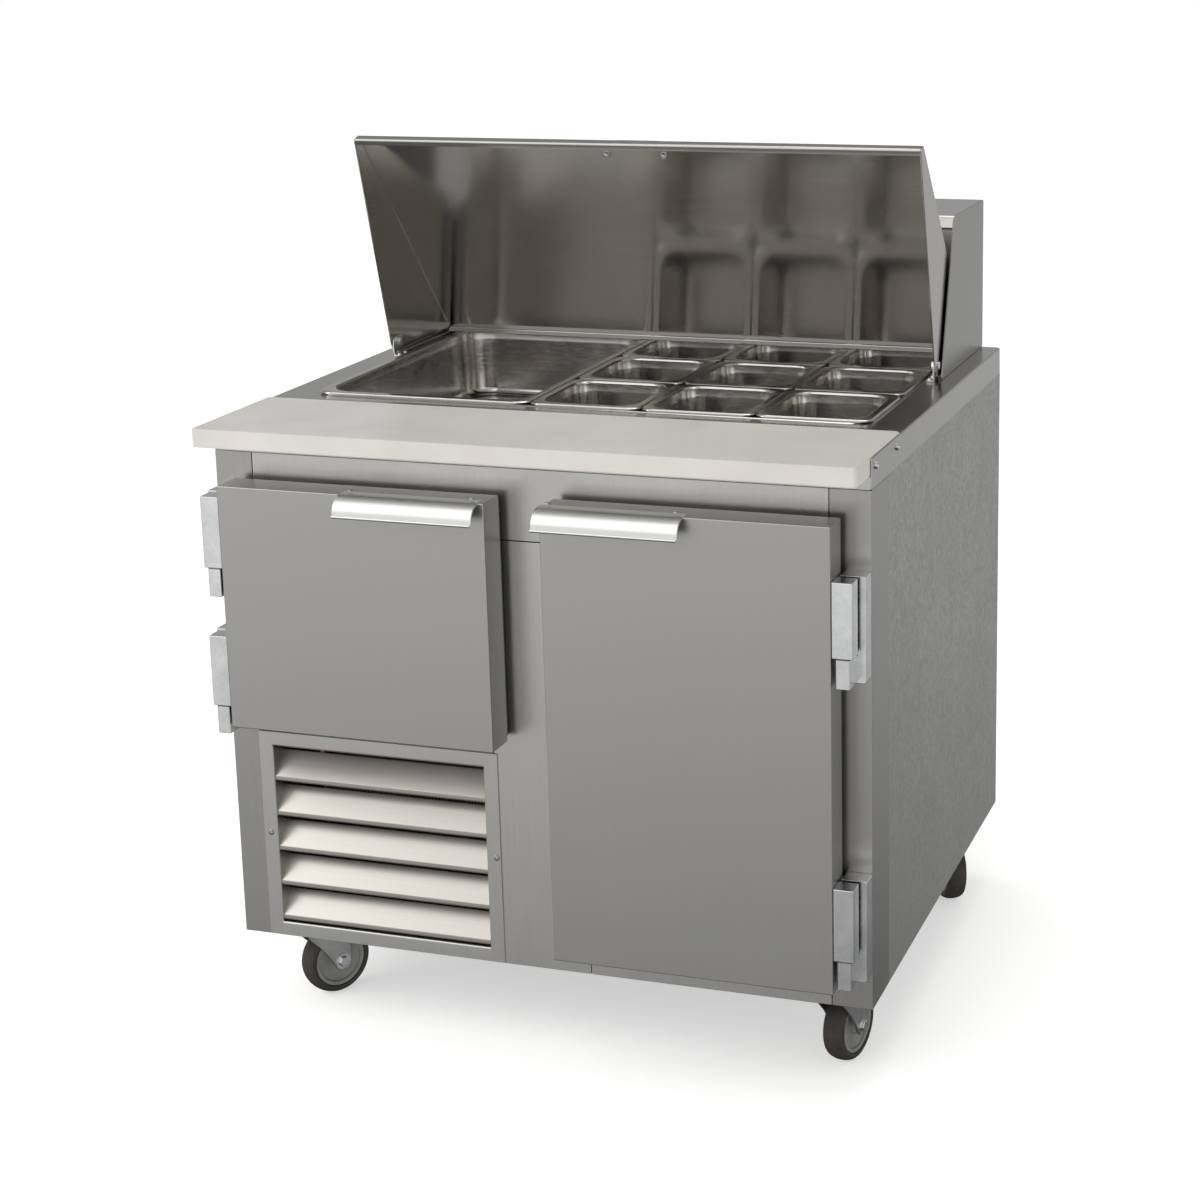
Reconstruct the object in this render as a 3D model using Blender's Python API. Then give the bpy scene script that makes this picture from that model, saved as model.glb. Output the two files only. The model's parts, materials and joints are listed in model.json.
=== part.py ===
"""Sandwich prep table: a refrigerated cabinet on casters with a pan well, a cutting board and a hinged lid.

Metres, +Z up, +X to the right of someone who works at the table, +Y to the rear.
The origin is on the floor, at the centre of the table's outer box.
"""
import math

import bmesh
import bpy
from mathutils import Matrix, Vector

# ---- cabinet ----
cabinet_width = 0.914
cabinet_depth = 0.768
body_height = 0.696
wall = 0.045
sheet = 0.0015
gap = 0.0003
frame_depth = 0.085
stile_width = 0.060
mullion_width = 0.130
top_rail = 0.097
bottom_rail = 0.075
short_door_sill = 0.352
side_return_skin = 0.0004
overshoot = 0.02

# ---- worktop, board and hood ----
worktop_flange = 0.040
board_thickness = 0.0254
board_overhang = 0.063
board_seat_depth = 0.150
board_rise = 0.003
board_corner = 0.010
hood_height = 0.225
hood_inset = 0.028
hood_lip = 0.020
hood_front_lean = 0.074
hood_behind_pivot = 0.005
board_bevel = 0.002
board_side_gap = 0.0005

# ---- pans ----
sixth_pan_width = 0.162
sixth_pan_depth = 0.1765
pan_columns = 3
pan_rows = 3
full_pan_width = 0.325
pan_height = 0.100
pan_metal = 0.0012
pan_rim_width = 0.012
pan_rim_height = 0.0048
pan_taper = 0.006
pan_clearance = 0.001
pan_corner_radius = 0.030
adapter_bar_width = 0.010
adapter_bar_height = 0.018
opening_edge_to_board = 0.040
rim_seat = 0.004
well_wall = 0.008
well_clearance = 0.001
well_depth = 0.120

# ---- lid ----
lid_side_clearance = 0.0035
lid_sheet = 0.0015
lid_lip = 0.016
lid_front_reach = 0.3337
lid_rear_reach = 0.062
lid_rear_rise = 0.184
lid_front_drop = 0.0045
lid_rear_edge = (0.014, -0.006)
lid_pin_edge = (0.002, -0.0175)
lid_open_angle = math.radians(75.0)
pivot_height = 0.022
pivot_behind_opening = 0.305
pivot_pin_radius = 0.004
pin_hole_clearance = 0.0004
bracket_plate = 0.0025
bracket_side_gap = 0.0006
bracket_foot_width = 0.0135
bracket_half_length = 0.016
bracket_over_pin = 0.009
lid_handle_length = 0.104
lid_handle_from_edge = 0.0205
lid_handle_width = 0.016
lid_handle_height = 0.020
lid_handle_foot = 0.018
lid_handle_strap = 0.003

# ---- doors ----
door_front_standoff = 0.063
door_thickness = 0.049
door_top = 0.663
short_door_bottom = 0.327
tall_door_bottom = 0.045
door_outer_inset = 0.036
door_inner_gap = 0.076
door_bevel = 0.0015
gasket_width = 0.016
gasket_inset = 0.004
handle_length = 0.196
handle_reach = 0.027
handle_drop = 0.026
handle_metal = 0.003
handle_mount = 0.016
handle_insets = {"left": 0.008, "right": -0.003}
handle_steps = 8

# ---- hinges ----
hinge_block_height = 0.098
hinge_foot_height = 0.040
hinge_block_width = 0.0275
hinge_block_depth = 0.027
hinge_pin_radius = 0.004
hinge_plate = 0.0275
hinge_axis = 0.050
hinge_front_share = 0.45
hinge_bevel = 0.002
hinge_bore_clearance = 0.0002
hinge_thrust_gap = 0.001
hinge_foot_ease = 0.004
hinge_foot_steps = 10
hinge_plate_reach = 0.008
left_upper_hinge_drop = 0.016
right_upper_hinge_drop = 0.070
left_lower_hinge_rise = -0.012
right_lower_hinge_rise = 0.006

# ---- louvre and machine bay ----
louver_top = 0.302
louver_border = 0.021
louver_left_inset = 0.040
louver_right_edge = 0.060
blade_count = 5
blade_pitch = 0.0515
blade_lip = 0.007
blade_run = 0.024
blade_rise = 0.031
blade_metal = 0.0015
lowest_blade = 0.0235
louver_return_depth = 0.040
louver_clearance = 0.003
bay_wall_thickness = 0.035
bay_ceiling_thickness = 0.035
bay_ceiling_drop = 0.007
bay_wall_lift = 0.004
bay_side_gap = 0.001
base_sheet = (0.0005, 0.0035)
fan_hub_y = 0.190
fan_centre_z = 0.155
fan_radius = 0.105
motor_radius = 0.032
motor_length = 0.055
motor_behind_hub = 0.030
shaft_radius = 0.004
condenser_y = (0.110, 0.150)
condenser_z = (0.020, 0.290)
fin_pitch = 0.020
compressor_height = 0.205
compressor_radius = 0.085
compressor_y = 0.500

# ---- evaporator, shelf and power inlet ----
evaporator_x = (-0.360, -0.080)
evaporator_z = (0.385, 0.585)
evaporator_depth = 0.060
evaporator_rear_gap = 0.003
evaporator_fan_radius = 0.078
evaporator_fan_ahead = 0.030
shelf_height = 0.340
shelf_thickness = 0.006
shelf_side_gap = 0.012
shelf_front_gap = 0.020
shelf_rear_gap = 0.083
shelf_bars = 9
shelf_border = 0.010
inlet_x = (-0.30, -0.24)
inlet_z = (0.060, 0.110)
inlet_pocket_depth = 0.030
inlet_wall = 0.010
inlet_socket_depth = 0.018
inlet_side_gap = 0.001
inlet_recess = 0.002

# ---- casters ----
wheel_diameter = 0.102
caster_head = 0.023
wheel_width = 0.031
caster_trail = 0.030
caster_side_inset = 0.068
caster_end_inset = 0.075
caster_turns = {"front_left": -32.0, "front_right": -12.0, "rear_left": 160.0, "rear_right": -150.0}
fork_metal = 0.003
fork_side_gap = 0.003
axle_radius = 0.006
axle_end = 0.004
axle_clearance = 0.0003
caster_plate = (0.045, 0.035, 0.004)
race_radius = 0.027
race_height = 0.008

# ---- worked out from the sizes above ----
caster_height = wheel_diameter + caster_head
half_width = cabinet_width / 2
overall_front = door_front_standoff + handle_reach
front_y = -(cabinet_depth + overall_front) / 2 + overall_front
worktop_z = body_height + worktop_flange
hood_half = half_width - hood_inset
opening_front = board_seat_depth + opening_edge_to_board
opening_depth = pan_rows * sixth_pan_depth
opening_width = full_pan_width + pan_columns * sixth_pan_width
pan_field_left = -opening_width / 2
sixth_field_left = pan_field_left + full_pan_width
pivot_y = opening_front + pivot_behind_opening
lid_half = hood_half - sheet - lid_side_clearance
door_back = door_front_standoff - door_thickness
left_door_span = (-(half_width - door_outer_inset), -door_inner_gap / 2)
right_door_span = (door_inner_gap / 2, half_width - door_outer_inset)
louver_span = (-(half_width - louver_left_inset), -louver_right_edge)
bay_wall_span = (-louver_right_edge, -louver_right_edge + bay_wall_thickness)
bay_left = -(half_width - wall - bay_side_gap)
bay_centre_x = (bay_left + bay_wall_span[0]) / 2
evaporator_back = cabinet_depth - wall - evaporator_rear_gap
evaporator_y = (evaporator_back - evaporator_depth, evaporator_back)


def y_at(distance):
    """A Y coordinate, from the distance behind the front face of the cabinet."""
    return front_y + distance


def z_at(height):
    """A Z coordinate, from the height above the underside of the cabinet."""
    return caster_height + height


def clear_scene():
    for item in list(bpy.data.objects):
        bpy.data.objects.remove(item, do_unlink=True)


def make_material(name, colour, metallic, roughness):
    material = bpy.data.materials.new(name)
    material.use_nodes = True
    shader = material.node_tree.nodes["Principled BSDF"]
    shader.inputs["Base Color"].default_value = (*colour, 1.0)
    shader.inputs["Metallic"].default_value = metallic
    shader.inputs["Roughness"].default_value = roughness
    return material


# ---- mesh helpers: each adds one closed shell to a bmesh ----
def add_box(mesh, low, high):
    corners = [mesh.verts.new((x, y, z)) for x in (low[0], high[0])
               for y in (low[1], high[1]) for z in (low[2], high[2])]
    for face in ((0, 1, 3, 2), (4, 6, 7, 5), (0, 4, 5, 1), (2, 3, 7, 6), (0, 2, 6, 4), (1, 5, 7, 3)):
        mesh.faces.new([corners[i] for i in face])


def add_prism(mesh, outline, axis, start, end):
    """An outline in the plane across an axis, extruded from start to end along it."""
    def place(point, along):
        if axis == "X":
            return (along, point[0], point[1])
        if axis == "Y":
            return (point[0], along, point[1])
        return (point[0], point[1], along)
    first = [mesh.verts.new(place(p, start)) for p in outline]
    second = [mesh.verts.new(place(p, end)) for p in outline]
    count = len(outline)
    mesh.faces.new(first)
    mesh.faces.new(second[::-1])
    for i in range(count):
        j = (i + 1) % count
        mesh.faces.new((first[j], first[i], second[i], second[j]))


def circle(radius, sides, centre=(0.0, 0.0)):
    step = 2 * math.pi / sides
    return [(centre[0] + radius * math.cos(i * step), centre[1] + radius * math.sin(i * step))
            for i in range(sides)]


def rounded_rectangle(half_x, half_y, radius, steps):
    """Corner points of a rectangle with round corners, anticlockwise, about its centre."""
    points = []
    for turn in range(4):
        sign_x = 1 if turn in (0, 3) else -1
        sign_y = 1 if turn in (0, 1) else -1
        for i in range(steps + 1):
            angle = math.pi / 2 * (turn + i / steps)
            points.append((sign_x * (half_x - radius) + radius * math.cos(angle),
                           sign_y * (half_y - radius) + radius * math.sin(angle)))
    return points


def add_rings(mesh, rings):
    """A closed shell through rings of points, capped at the first and the last ring."""
    loops = [[mesh.verts.new(point) for point in ring] for ring in rings]
    count = len(loops[0])
    for lower, upper in zip(loops, loops[1:]):
        for i in range(count):
            j = (i + 1) % count
            mesh.faces.new((lower[i], lower[j], upper[j], upper[i]))
    mesh.faces.new(loops[0][::-1])
    mesh.faces.new(loops[-1])


def add_turned(mesh, profile, sides, axis="X"):
    """A closed profile of (radius, along) points turned about an axis through the origin."""
    def place(radius, along, angle):
        u, v = radius * math.cos(angle), radius * math.sin(angle)
        if axis == "X":
            return (along, u, v)
        if axis == "Y":
            return (v, along, u)
        return (u, v, along)
    loops = [[mesh.verts.new(place(r, a, 2 * math.pi * i / sides)) for r, a in profile]
             for i in range(sides)]
    count = len(profile)
    for i in range(sides):
        here, there = loops[i], loops[(i + 1) % sides]
        for k in range(count):
            m = (k + 1) % count
            mesh.faces.new((here[k], here[m], there[m], there[k]))


def add_rod(mesh, radius, sides, axis, start, end, centre=(0.0, 0.0)):
    add_prism(mesh, circle(radius, sides, centre), axis, start, end)


def finish_object(name, mesh, material, smooth_degrees=30.0, parent=None, place=(0.0, 0.0, 0.0)):
    bmesh.ops.recalc_face_normals(mesh, faces=mesh.faces)
    data = bpy.data.meshes.new(name)
    mesh.to_mesh(data)
    mesh.free()
    data.materials.append(material)
    data.shade_smooth()
    data.set_sharp_from_angle(angle=math.radians(smooth_degrees))
    item = bpy.data.objects.new(name, data)
    item.location = place
    bpy.context.collection.objects.link(item)
    if parent is not None:
        item.parent = parent
    return item


def make_empty(name, place):
    item = bpy.data.objects.new(name, None)
    item.location = place
    bpy.context.collection.objects.link(item)
    return item


def boolean(item, operation, name, mesh):
    """Cut or join a helper shape, which is kept as a hidden wire guide."""
    bmesh.ops.recalc_face_normals(mesh, faces=mesh.faces)
    data = bpy.data.meshes.new(name)
    mesh.to_mesh(data)
    mesh.free()
    tool = bpy.data.objects.new(name, data)
    tool.location = item.location
    tool.rotation_euler = item.rotation_euler
    tool.parent = item.parent
    tool.hide_render = True
    tool.display_type = "WIRE"
    bpy.context.collection.objects.link(tool)
    modifier = item.modifiers.new(name, "BOOLEAN")
    modifier.operation = operation
    modifier.solver = "EXACT"
    modifier.object = tool
    return tool


def cut(item, label, boxes=(), build=None):
    mesh = bmesh.new()
    for low, high in boxes:
        add_box(mesh, low, high)
    if build is not None:
        build(mesh)
    boolean(item, "DIFFERENCE", item.name + "_" + label, mesh)


def join(item, label, boxes=(), build=None):
    mesh = bmesh.new()
    for low, high in boxes:
        add_box(mesh, low, high)
    if build is not None:
        build(mesh)
    boolean(item, "UNION", item.name + "_" + label, mesh)


def span_box(x_span, y_span, z_span):
    """A box from spans: X as it is, Y behind the front face, Z above the cabinet's underside."""
    return ((x_span[0], y_at(y_span[0]), z_at(z_span[0])), (x_span[1], y_at(y_span[1]), z_at(z_span[1])))


def box_object(name, x_span, y_span, z_span, material):
    mesh = bmesh.new()
    add_box(mesh, *span_box(x_span, y_span, z_span))
    return finish_object(name, mesh, material)


# ---- the cabinet's shell ----
def build_front_frame(steel):
    frame = box_object("front_frame", (-half_width, half_width), (0, frame_depth), (0, body_height), steel)
    inner = half_width - stile_width
    mullion = mullion_width / 2
    head = body_height - top_rail
    through = (-overshoot, frame_depth + overshoot)
    ease = louver_border - louver_clearance
    cut(frame, "openings", [
        span_box((-inner, -mullion), through, (short_door_sill, head)),
        span_box((mullion, inner), through, (bottom_rail, head)),
        span_box((louver_span[0] + ease, louver_span[1] - ease), through, (ease, louver_top - ease)),
    ])


def build_walls(side_skin, liner):
    back = (frame_depth + gap, cabinet_depth)
    for name, side in (("left_side_panel", -1), ("right_side_panel", 1)):
        edges = sorted((side * (half_width - side_return_skin), side * (half_width - wall)))
        box_object(name, edges, back, (0, body_height), side_skin)
    inside = half_width - wall - gap
    rear_front = cabinet_depth - wall
    rear_span = (rear_front, cabinet_depth)
    rear = box_object("rear_panel", (-inside, inside), rear_span, (0, body_height), side_skin)
    pocket_y = (cabinet_depth - inlet_pocket_depth, cabinet_depth + overshoot)
    cut(rear, "inlet_pocket", [span_box(inlet_x, pocket_y, inlet_z)])
    interior = (frame_depth + gap, rear_front - gap)
    box_object("floor_panel", (bay_wall_span[1] + gap, inside), interior, (0, wall), liner)
    bay_top = short_door_sill - bay_ceiling_drop
    mesh = bmesh.new()
    x_left, x_wall, x_right = -inside, bay_wall_span[0], bay_wall_span[1]
    low = bay_top - bay_ceiling_thickness
    outline = [(x_left, z_at(low)), (x_wall, z_at(low)), (x_wall, z_at(bay_wall_lift)),
               (x_right, z_at(bay_wall_lift)), (x_right, z_at(bay_top)), (x_left, z_at(bay_top))]
    add_prism(mesh, outline, "Y", y_at(interior[0]), y_at(interior[1]))
    finish_object("machine_bay_liner", mesh, liner)


def build_power_inlet(plastic):
    x_span = (inlet_x[0] + inlet_side_gap, inlet_x[1] - inlet_side_gap)
    z_span = (inlet_z[0] + inlet_side_gap, inlet_z[1] - inlet_side_gap)
    y_span = (cabinet_depth - inlet_pocket_depth + gap, cabinet_depth - inlet_recess)
    inlet = box_object("power_inlet", x_span, y_span, z_span, plastic)
    cut(inlet, "socket", [span_box((x_span[0] + inlet_wall, x_span[1] - inlet_wall),
                                   (cabinet_depth - inlet_socket_depth, cabinet_depth + overshoot),
                                   (z_span[0] + inlet_wall, z_span[1] - inlet_wall))])


# ---- worktop, well, board and hood ----
def build_worktop(steel):
    seat_z = worktop_z + board_rise - board_thickness - gap
    low = body_height + gap
    top = box_object("worktop", (-half_width, half_width), (0, cabinet_depth), (low, worktop_z), steel)
    inside = half_width - sheet
    board_back = board_seat_depth + gap
    over = worktop_z + overshoot
    cut(top, "board_seat", [span_box((-inside, inside), (-overshoot, board_back), (seat_z, over))])
    under_board = (sheet, board_back + 2 * sheet)
    cut(top, "underside_front", [span_box((-inside, inside), under_board, (low - overshoot, seat_z - sheet))])
    cut(top, "underside", [span_box((-inside, inside), (board_back + sheet, cabinet_depth - sheet),
                                    (low - overshoot, worktop_z - sheet))])
    half_opening = opening_width / 2 - rim_seat
    cut(top, "pan_opening", [span_box((-half_opening, half_opening),
                                      (opening_front + rim_seat, opening_front + opening_depth - rim_seat),
                                      (worktop_z - overshoot, over))])


def build_pan_well(liner):
    inside = half_width - wall - gap
    half_opening = opening_width / 2 - rim_seat + well_clearance
    half_outer = min(inside, half_opening + well_wall)
    rear = min(cabinet_depth - wall - gap, opening_front + opening_depth + well_wall)
    top = worktop_z - sheet - gap
    well = box_object("pan_well", (-half_outer, half_outer), (opening_front - well_wall, rear),
                      (top - well_depth, top), liner)
    cut(well, "inside", [span_box((-half_opening, half_opening),
                                  (opening_front + rim_seat - well_clearance,
                                   opening_front + opening_depth - rim_seat),
                                  (top - well_depth - overshoot, top + overshoot))])


def build_adapter_bars(steel):
    """Bars that carry the pans: one from front to rear, and one between each two rows of small pans."""
    top = worktop_z
    low = top - adapter_bar_height
    half = adapter_bar_width / 2
    front = opening_front + rim_seat + gap
    rear = opening_front + opening_depth - rim_seat - gap
    end = opening_width / 2 - rim_seat - gap
    centre = sixth_field_left
    bars = box_object("pan_adapter_bars", (centre - half, centre + half), (front, rear),
                      (low, top), steel)
    rows = []
    for row in range(1, pan_rows):
        y = opening_front + row * sixth_pan_depth
        rows.append(span_box((centre, end), (y - half, y + half), (low + 0.001, top - 0.0005)))
    join(bars, "cross_bars", rows)


def pan_mesh(width, depth, corner):
    """A thin pan that hangs by its rim, about its own centre, with the rim's seat at height 0."""
    mesh = bmesh.new()
    half_x, half_y = width / 2, depth / 2
    body_x, body_y = half_x - pan_rim_width, half_y - pan_rim_width
    steps = 4
    seat = gap

    def ring(inset_x, inset_y, radius, z):
        return [(x, y, z) for x, y in rounded_rectangle(inset_x, inset_y, radius, steps)]
    floor = seat - pan_height
    metal = pan_metal
    rings = [
        ring(body_x - pan_taper - metal, body_y - pan_taper - metal, corner - metal, floor + metal),
        ring(body_x - metal, body_y - metal, corner - metal, seat + pan_rim_height - 0.001),
        ring(body_x + 0.001, body_y + 0.001, corner, seat + pan_rim_height),
        ring(half_x - 0.0015, half_y - 0.0015, corner * 0.6, seat + pan_rim_height),
        ring(half_x, half_y, corner * 0.6, seat + pan_rim_height - 0.0015),
        ring(half_x, half_y, corner * 0.6, seat),
        ring(half_x - metal, half_y - metal, corner * 0.6 - metal, seat),
        ring(half_x - metal, half_y - metal, corner * 0.6 - metal, seat + pan_rim_height - 2 * metal),
        ring(body_x + metal, body_y + metal, corner + metal, seat + pan_rim_height - 2 * metal),
        ring(body_x, body_y, corner, seat + pan_rim_height - 3 * metal),
        ring(body_x - pan_taper, body_y - pan_taper, corner, floor),
    ]
    add_rings(mesh, rings)
    return mesh


def build_pans(pan_steel):
    seat = z_at(worktop_z)
    full_y = y_at(opening_front + opening_depth / 2)
    mesh = pan_mesh(full_pan_width - pan_clearance, opening_depth - pan_clearance, pan_corner_radius + 0.012)
    finish_object("full_pan", mesh, pan_steel, place=(pan_field_left + full_pan_width / 2, full_y, seat))
    for row in range(pan_rows):
        for column in range(pan_columns):
            x = sixth_field_left + (column + 0.5) * sixth_pan_width
            y = y_at(opening_front + (row + 0.5) * sixth_pan_depth)
            size = (sixth_pan_width - pan_clearance, sixth_pan_depth - pan_clearance)
            mesh = pan_mesh(*size, pan_corner_radius)
            finish_object(f"sixth_pan_{row + 1}_{column + 1}", mesh, pan_steel, place=(x, y, seat))


def build_board(plastic):
    """A thick board with round corners and a small bevel all round."""
    half_x = half_width - sheet - board_side_gap
    depth = board_seat_depth + board_overhang
    centre_y = y_at((board_seat_depth - board_overhang) / 2)
    base = z_at(worktop_z + board_rise - board_thickness)
    bevel = board_bevel
    mesh = bmesh.new()
    levels = ((bevel, 0.0), (0.0, bevel), (0.0, board_thickness - bevel), (bevel, board_thickness))
    add_rings(mesh, [[(x, y, z) for x, y in rounded_rectangle(half_x - inset, depth / 2 - inset,
                                                               board_corner - inset, 4)]
                     for inset, z in levels])
    finish_object("cutting_board", mesh, plastic, place=(0.0, centre_y, base))


def build_hood(steel):
    """A fixed cover over the rear of the pans, open below and in front."""
    base = z_at(worktop_z) + gap
    top = z_at(worktop_z + hood_height)
    foot = y_at(pivot_y + hood_behind_pivot)
    brow = foot + hood_front_lean
    rear = y_at(cabinet_depth)
    mesh = bmesh.new()
    add_prism(mesh, [(foot, base), (rear, base), (rear, top), (brow, top)], "X", -hood_half, hood_half)
    hood = finish_object("rear_hood", mesh, steel)
    inner = hood_half - sheet
    lip_z = top - hood_lip
    front = foot - overshoot

    def hollow(tool):
        outline = [(front, base - overshoot), (rear - sheet, base - overshoot), (rear - sheet, top - sheet),
                   (brow + sheet, top - sheet), (brow + sheet, lip_z), (front, lip_z)]
        add_prism(tool, outline, "X", -inner, inner)
    cut(hood, "hollow", build=hollow)


# ---- lid ----
def lid_outline():
    """The lid's side, closed, as (Y, Z) about its pivot."""
    return [(-lid_front_reach, -lid_front_drop - lid_lip), (-lid_front_reach, -lid_front_drop),
            (lid_rear_reach, lid_rear_rise), lid_rear_edge, lid_pin_edge]


def build_lid(steel, bright_steel):
    axis_place = (0.0, y_at(pivot_y), z_at(worktop_z + pivot_height))
    open_turn = (-lid_open_angle, 0.0, 0.0)
    mesh = bmesh.new()
    add_prism(mesh, lid_outline(), "X", -lid_half, lid_half)
    lid = finish_object("lid", mesh, steel, place=axis_place)
    lid.rotation_euler = open_turn
    inner = lid_half - lid_sheet
    run = lid_front_reach + lid_rear_reach
    rise = lid_rear_rise + lid_front_drop
    slope = math.hypot(run, rise)
    along = Vector((run / slope, rise / slope))
    inward = Vector((along.y, -along.x))
    start = Vector((-lid_front_reach, -lid_front_drop)) + inward * lid_sheet
    front = -lid_front_reach + lid_sheet
    corner_z = start.y + (front - start.x) * along.y / along.x
    past = start + along * (slope + overshoot)
    floor = -lid_rear_rise

    def hollow(tool):
        outline = [(front, floor), (front, corner_z), (past.x, past.y), (past.x, floor)]
        add_prism(tool, outline, "X", -inner, inner)
    cut(lid, "hollow", build=hollow)
    hole = pivot_pin_radius + pin_hole_clearance

    def holes(tool):
        add_rod(tool, hole, 12, "X", -lid_half - 0.01, -inner + 0.01)
        add_rod(tool, hole, 12, "X", inner - 0.01, lid_half + 0.01)
    cut(lid, "pin_holes", build=holes)
    build_lid_handle(bright_steel, axis_place, open_turn, along)
    for name, side in (("left_lid_bracket", -1), ("right_lid_bracket", 1)):
        build_lid_bracket(name, side, inner, bright_steel)


def build_lid_handle(metal, axis_place, open_turn, along):
    """A bent strap near the lid's front edge, on feet."""
    normal = Vector((-along.y, along.x))
    start = Vector((-lid_front_reach, -lid_front_drop)) + along * lid_handle_from_edge + normal * gap
    half = lid_handle_length / 2
    strap, height, foot = lid_handle_strap, lid_handle_height, lid_handle_foot
    outline = [(-half, 0), (-half + foot, 0), (-half + foot, height - strap), (half - foot, height - strap),
               (half - foot, 0), (half, 0), (half, strap), (half - foot + strap, strap),
               (half - foot + strap, height), (-half + foot - strap, height),
               (-half + foot - strap, strap), (-half, strap)]
    mesh = bmesh.new()
    near = []
    far = []
    for x, up in outline:
        base = start + normal * up
        tip = base + along * lid_handle_width
        near.append(mesh.verts.new((x, base.x, base.y)))
        far.append(mesh.verts.new((x, tip.x, tip.y)))
    mesh.faces.new(near)
    mesh.faces.new(far[::-1])
    for i in range(len(outline)):
        j = (i + 1) % len(outline)
        mesh.faces.new((near[j], near[i], far[i], far[j]))
    handle = finish_object("lid_handle", mesh, metal, place=axis_place)
    handle.rotation_euler = open_turn


def build_lid_bracket(name, side, lid_inner, metal):
    """An angle on the worktop with the shoulder pin that the lid turns on."""
    outer = lid_inner - bracket_side_gap
    plate = (outer - bracket_plate, outer)
    foot = (outer - bracket_foot_width, outer)
    base = worktop_z + gap

    def signed(span):
        return tuple(sorted((side * span[0], side * span[1])))
    y_span = (pivot_y - bracket_half_length, pivot_y + bracket_half_length)
    top = worktop_z + pivot_height + bracket_over_pin
    bracket = box_object(name, signed(plate), y_span, (base, top), metal)
    join(bracket, "foot", [span_box(signed(foot), (y_span[0] + 0.0005, y_span[1] - 0.0005),
                                    (base, base + bracket_plate))])
    centre = (y_at(pivot_y), z_at(worktop_z + pivot_height))

    def pin(tool):
        add_rod(tool, pivot_pin_radius, 12, "X", *signed((outer - 0.001, lid_half + 0.0011)), centre)
    join(bracket, "pin", build=pin)

    def head(tool):
        span = signed((lid_half + 0.0005, lid_half + 0.0025))
        add_rod(tool, pivot_pin_radius + 0.0018, 12, "X", *span, centre)
    join(bracket, "pin_head", build=head)


# ---- doors ----
def build_door(side_name, x_span, bottom, outer_side, materials):
    steel, rubber, bright = materials
    width_box = span_box(x_span, (-door_front_standoff, -door_back), (bottom, door_top))
    pin_x = outer_side * (half_width - door_outer_inset + hinge_block_width / 2)
    axis = make_empty(side_name + "_door_axis", (pin_x, y_at(-hinge_axis), z_at(bottom)))
    shift = Vector(axis.location)
    mesh = bmesh.new()
    low, high = (Vector(corner) - shift for corner in width_box)
    add_box(mesh, low, high)
    door = finish_object(side_name + "_door", mesh, steel, parent=axis)
    bevel = door.modifiers.new("edge", "BEVEL")
    bevel.width = door_bevel
    bevel.segments = 1
    g_low = Vector((low.x + gasket_inset, high.y + gap, low.z + gasket_inset))
    g_high = Vector((high.x - gasket_inset, shift_front(shift) - gap, high.z - gasket_inset))
    mesh = bmesh.new()
    add_box(mesh, g_low, g_high)
    gasket = finish_object(side_name + "_door_gasket", mesh, rubber, parent=axis)
    rim = gasket_width
    cut(gasket, "inside", [((g_low.x + rim, g_low.y - overshoot, g_low.z + rim),
                            (g_high.x - rim, g_high.y + overshoot, g_high.z - rim))])
    build_door_handle(side_name, x_span, outer_side, shift, axis, bright)


def shift_front(shift):
    """The cabinet's front face, seen from an object at shift."""
    return y_at(0) - shift.y


def build_door_handle(side_name, x_span, outer_side, shift, axis, metal):
    """A curved pull that hooks over the door's top edge and rolls forward and down."""
    inner_edge = x_span[1] if outer_side < 0 else x_span[0]
    start = inner_edge + outer_side * handle_insets[side_name]
    x_low, x_high = sorted((start, start + outer_side * handle_length))
    face = y_at(-door_front_standoff) - gap
    top = z_at(door_top) + gap
    steps = handle_steps
    reach, drop = handle_reach - gap, handle_drop
    outer = [(face - reach * math.sin(math.pi / 2 * i / steps),
              top + handle_metal - (drop + handle_metal) * (1 - math.cos(math.pi / 2 * i / steps)))
             for i in range(steps + 1)]
    inner = [(face - (reach - handle_metal) * math.sin(math.pi / 2 * i / steps),
              top - drop * (1 - math.cos(math.pi / 2 * i / steps)))
             for i in range(steps + 1)]
    mount_back = face + handle_mount
    outline = [(mount_back, top + handle_metal)] + outer + inner[::-1] + [(mount_back, top)]
    outline = [(y - shift.y, z - shift.z) for y, z in outline]
    mesh = bmesh.new()
    add_prism(mesh, outline, "X", x_low - shift.x, x_high - shift.x)
    finish_object(side_name + "_door_handle", mesh, metal, parent=axis)


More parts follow.
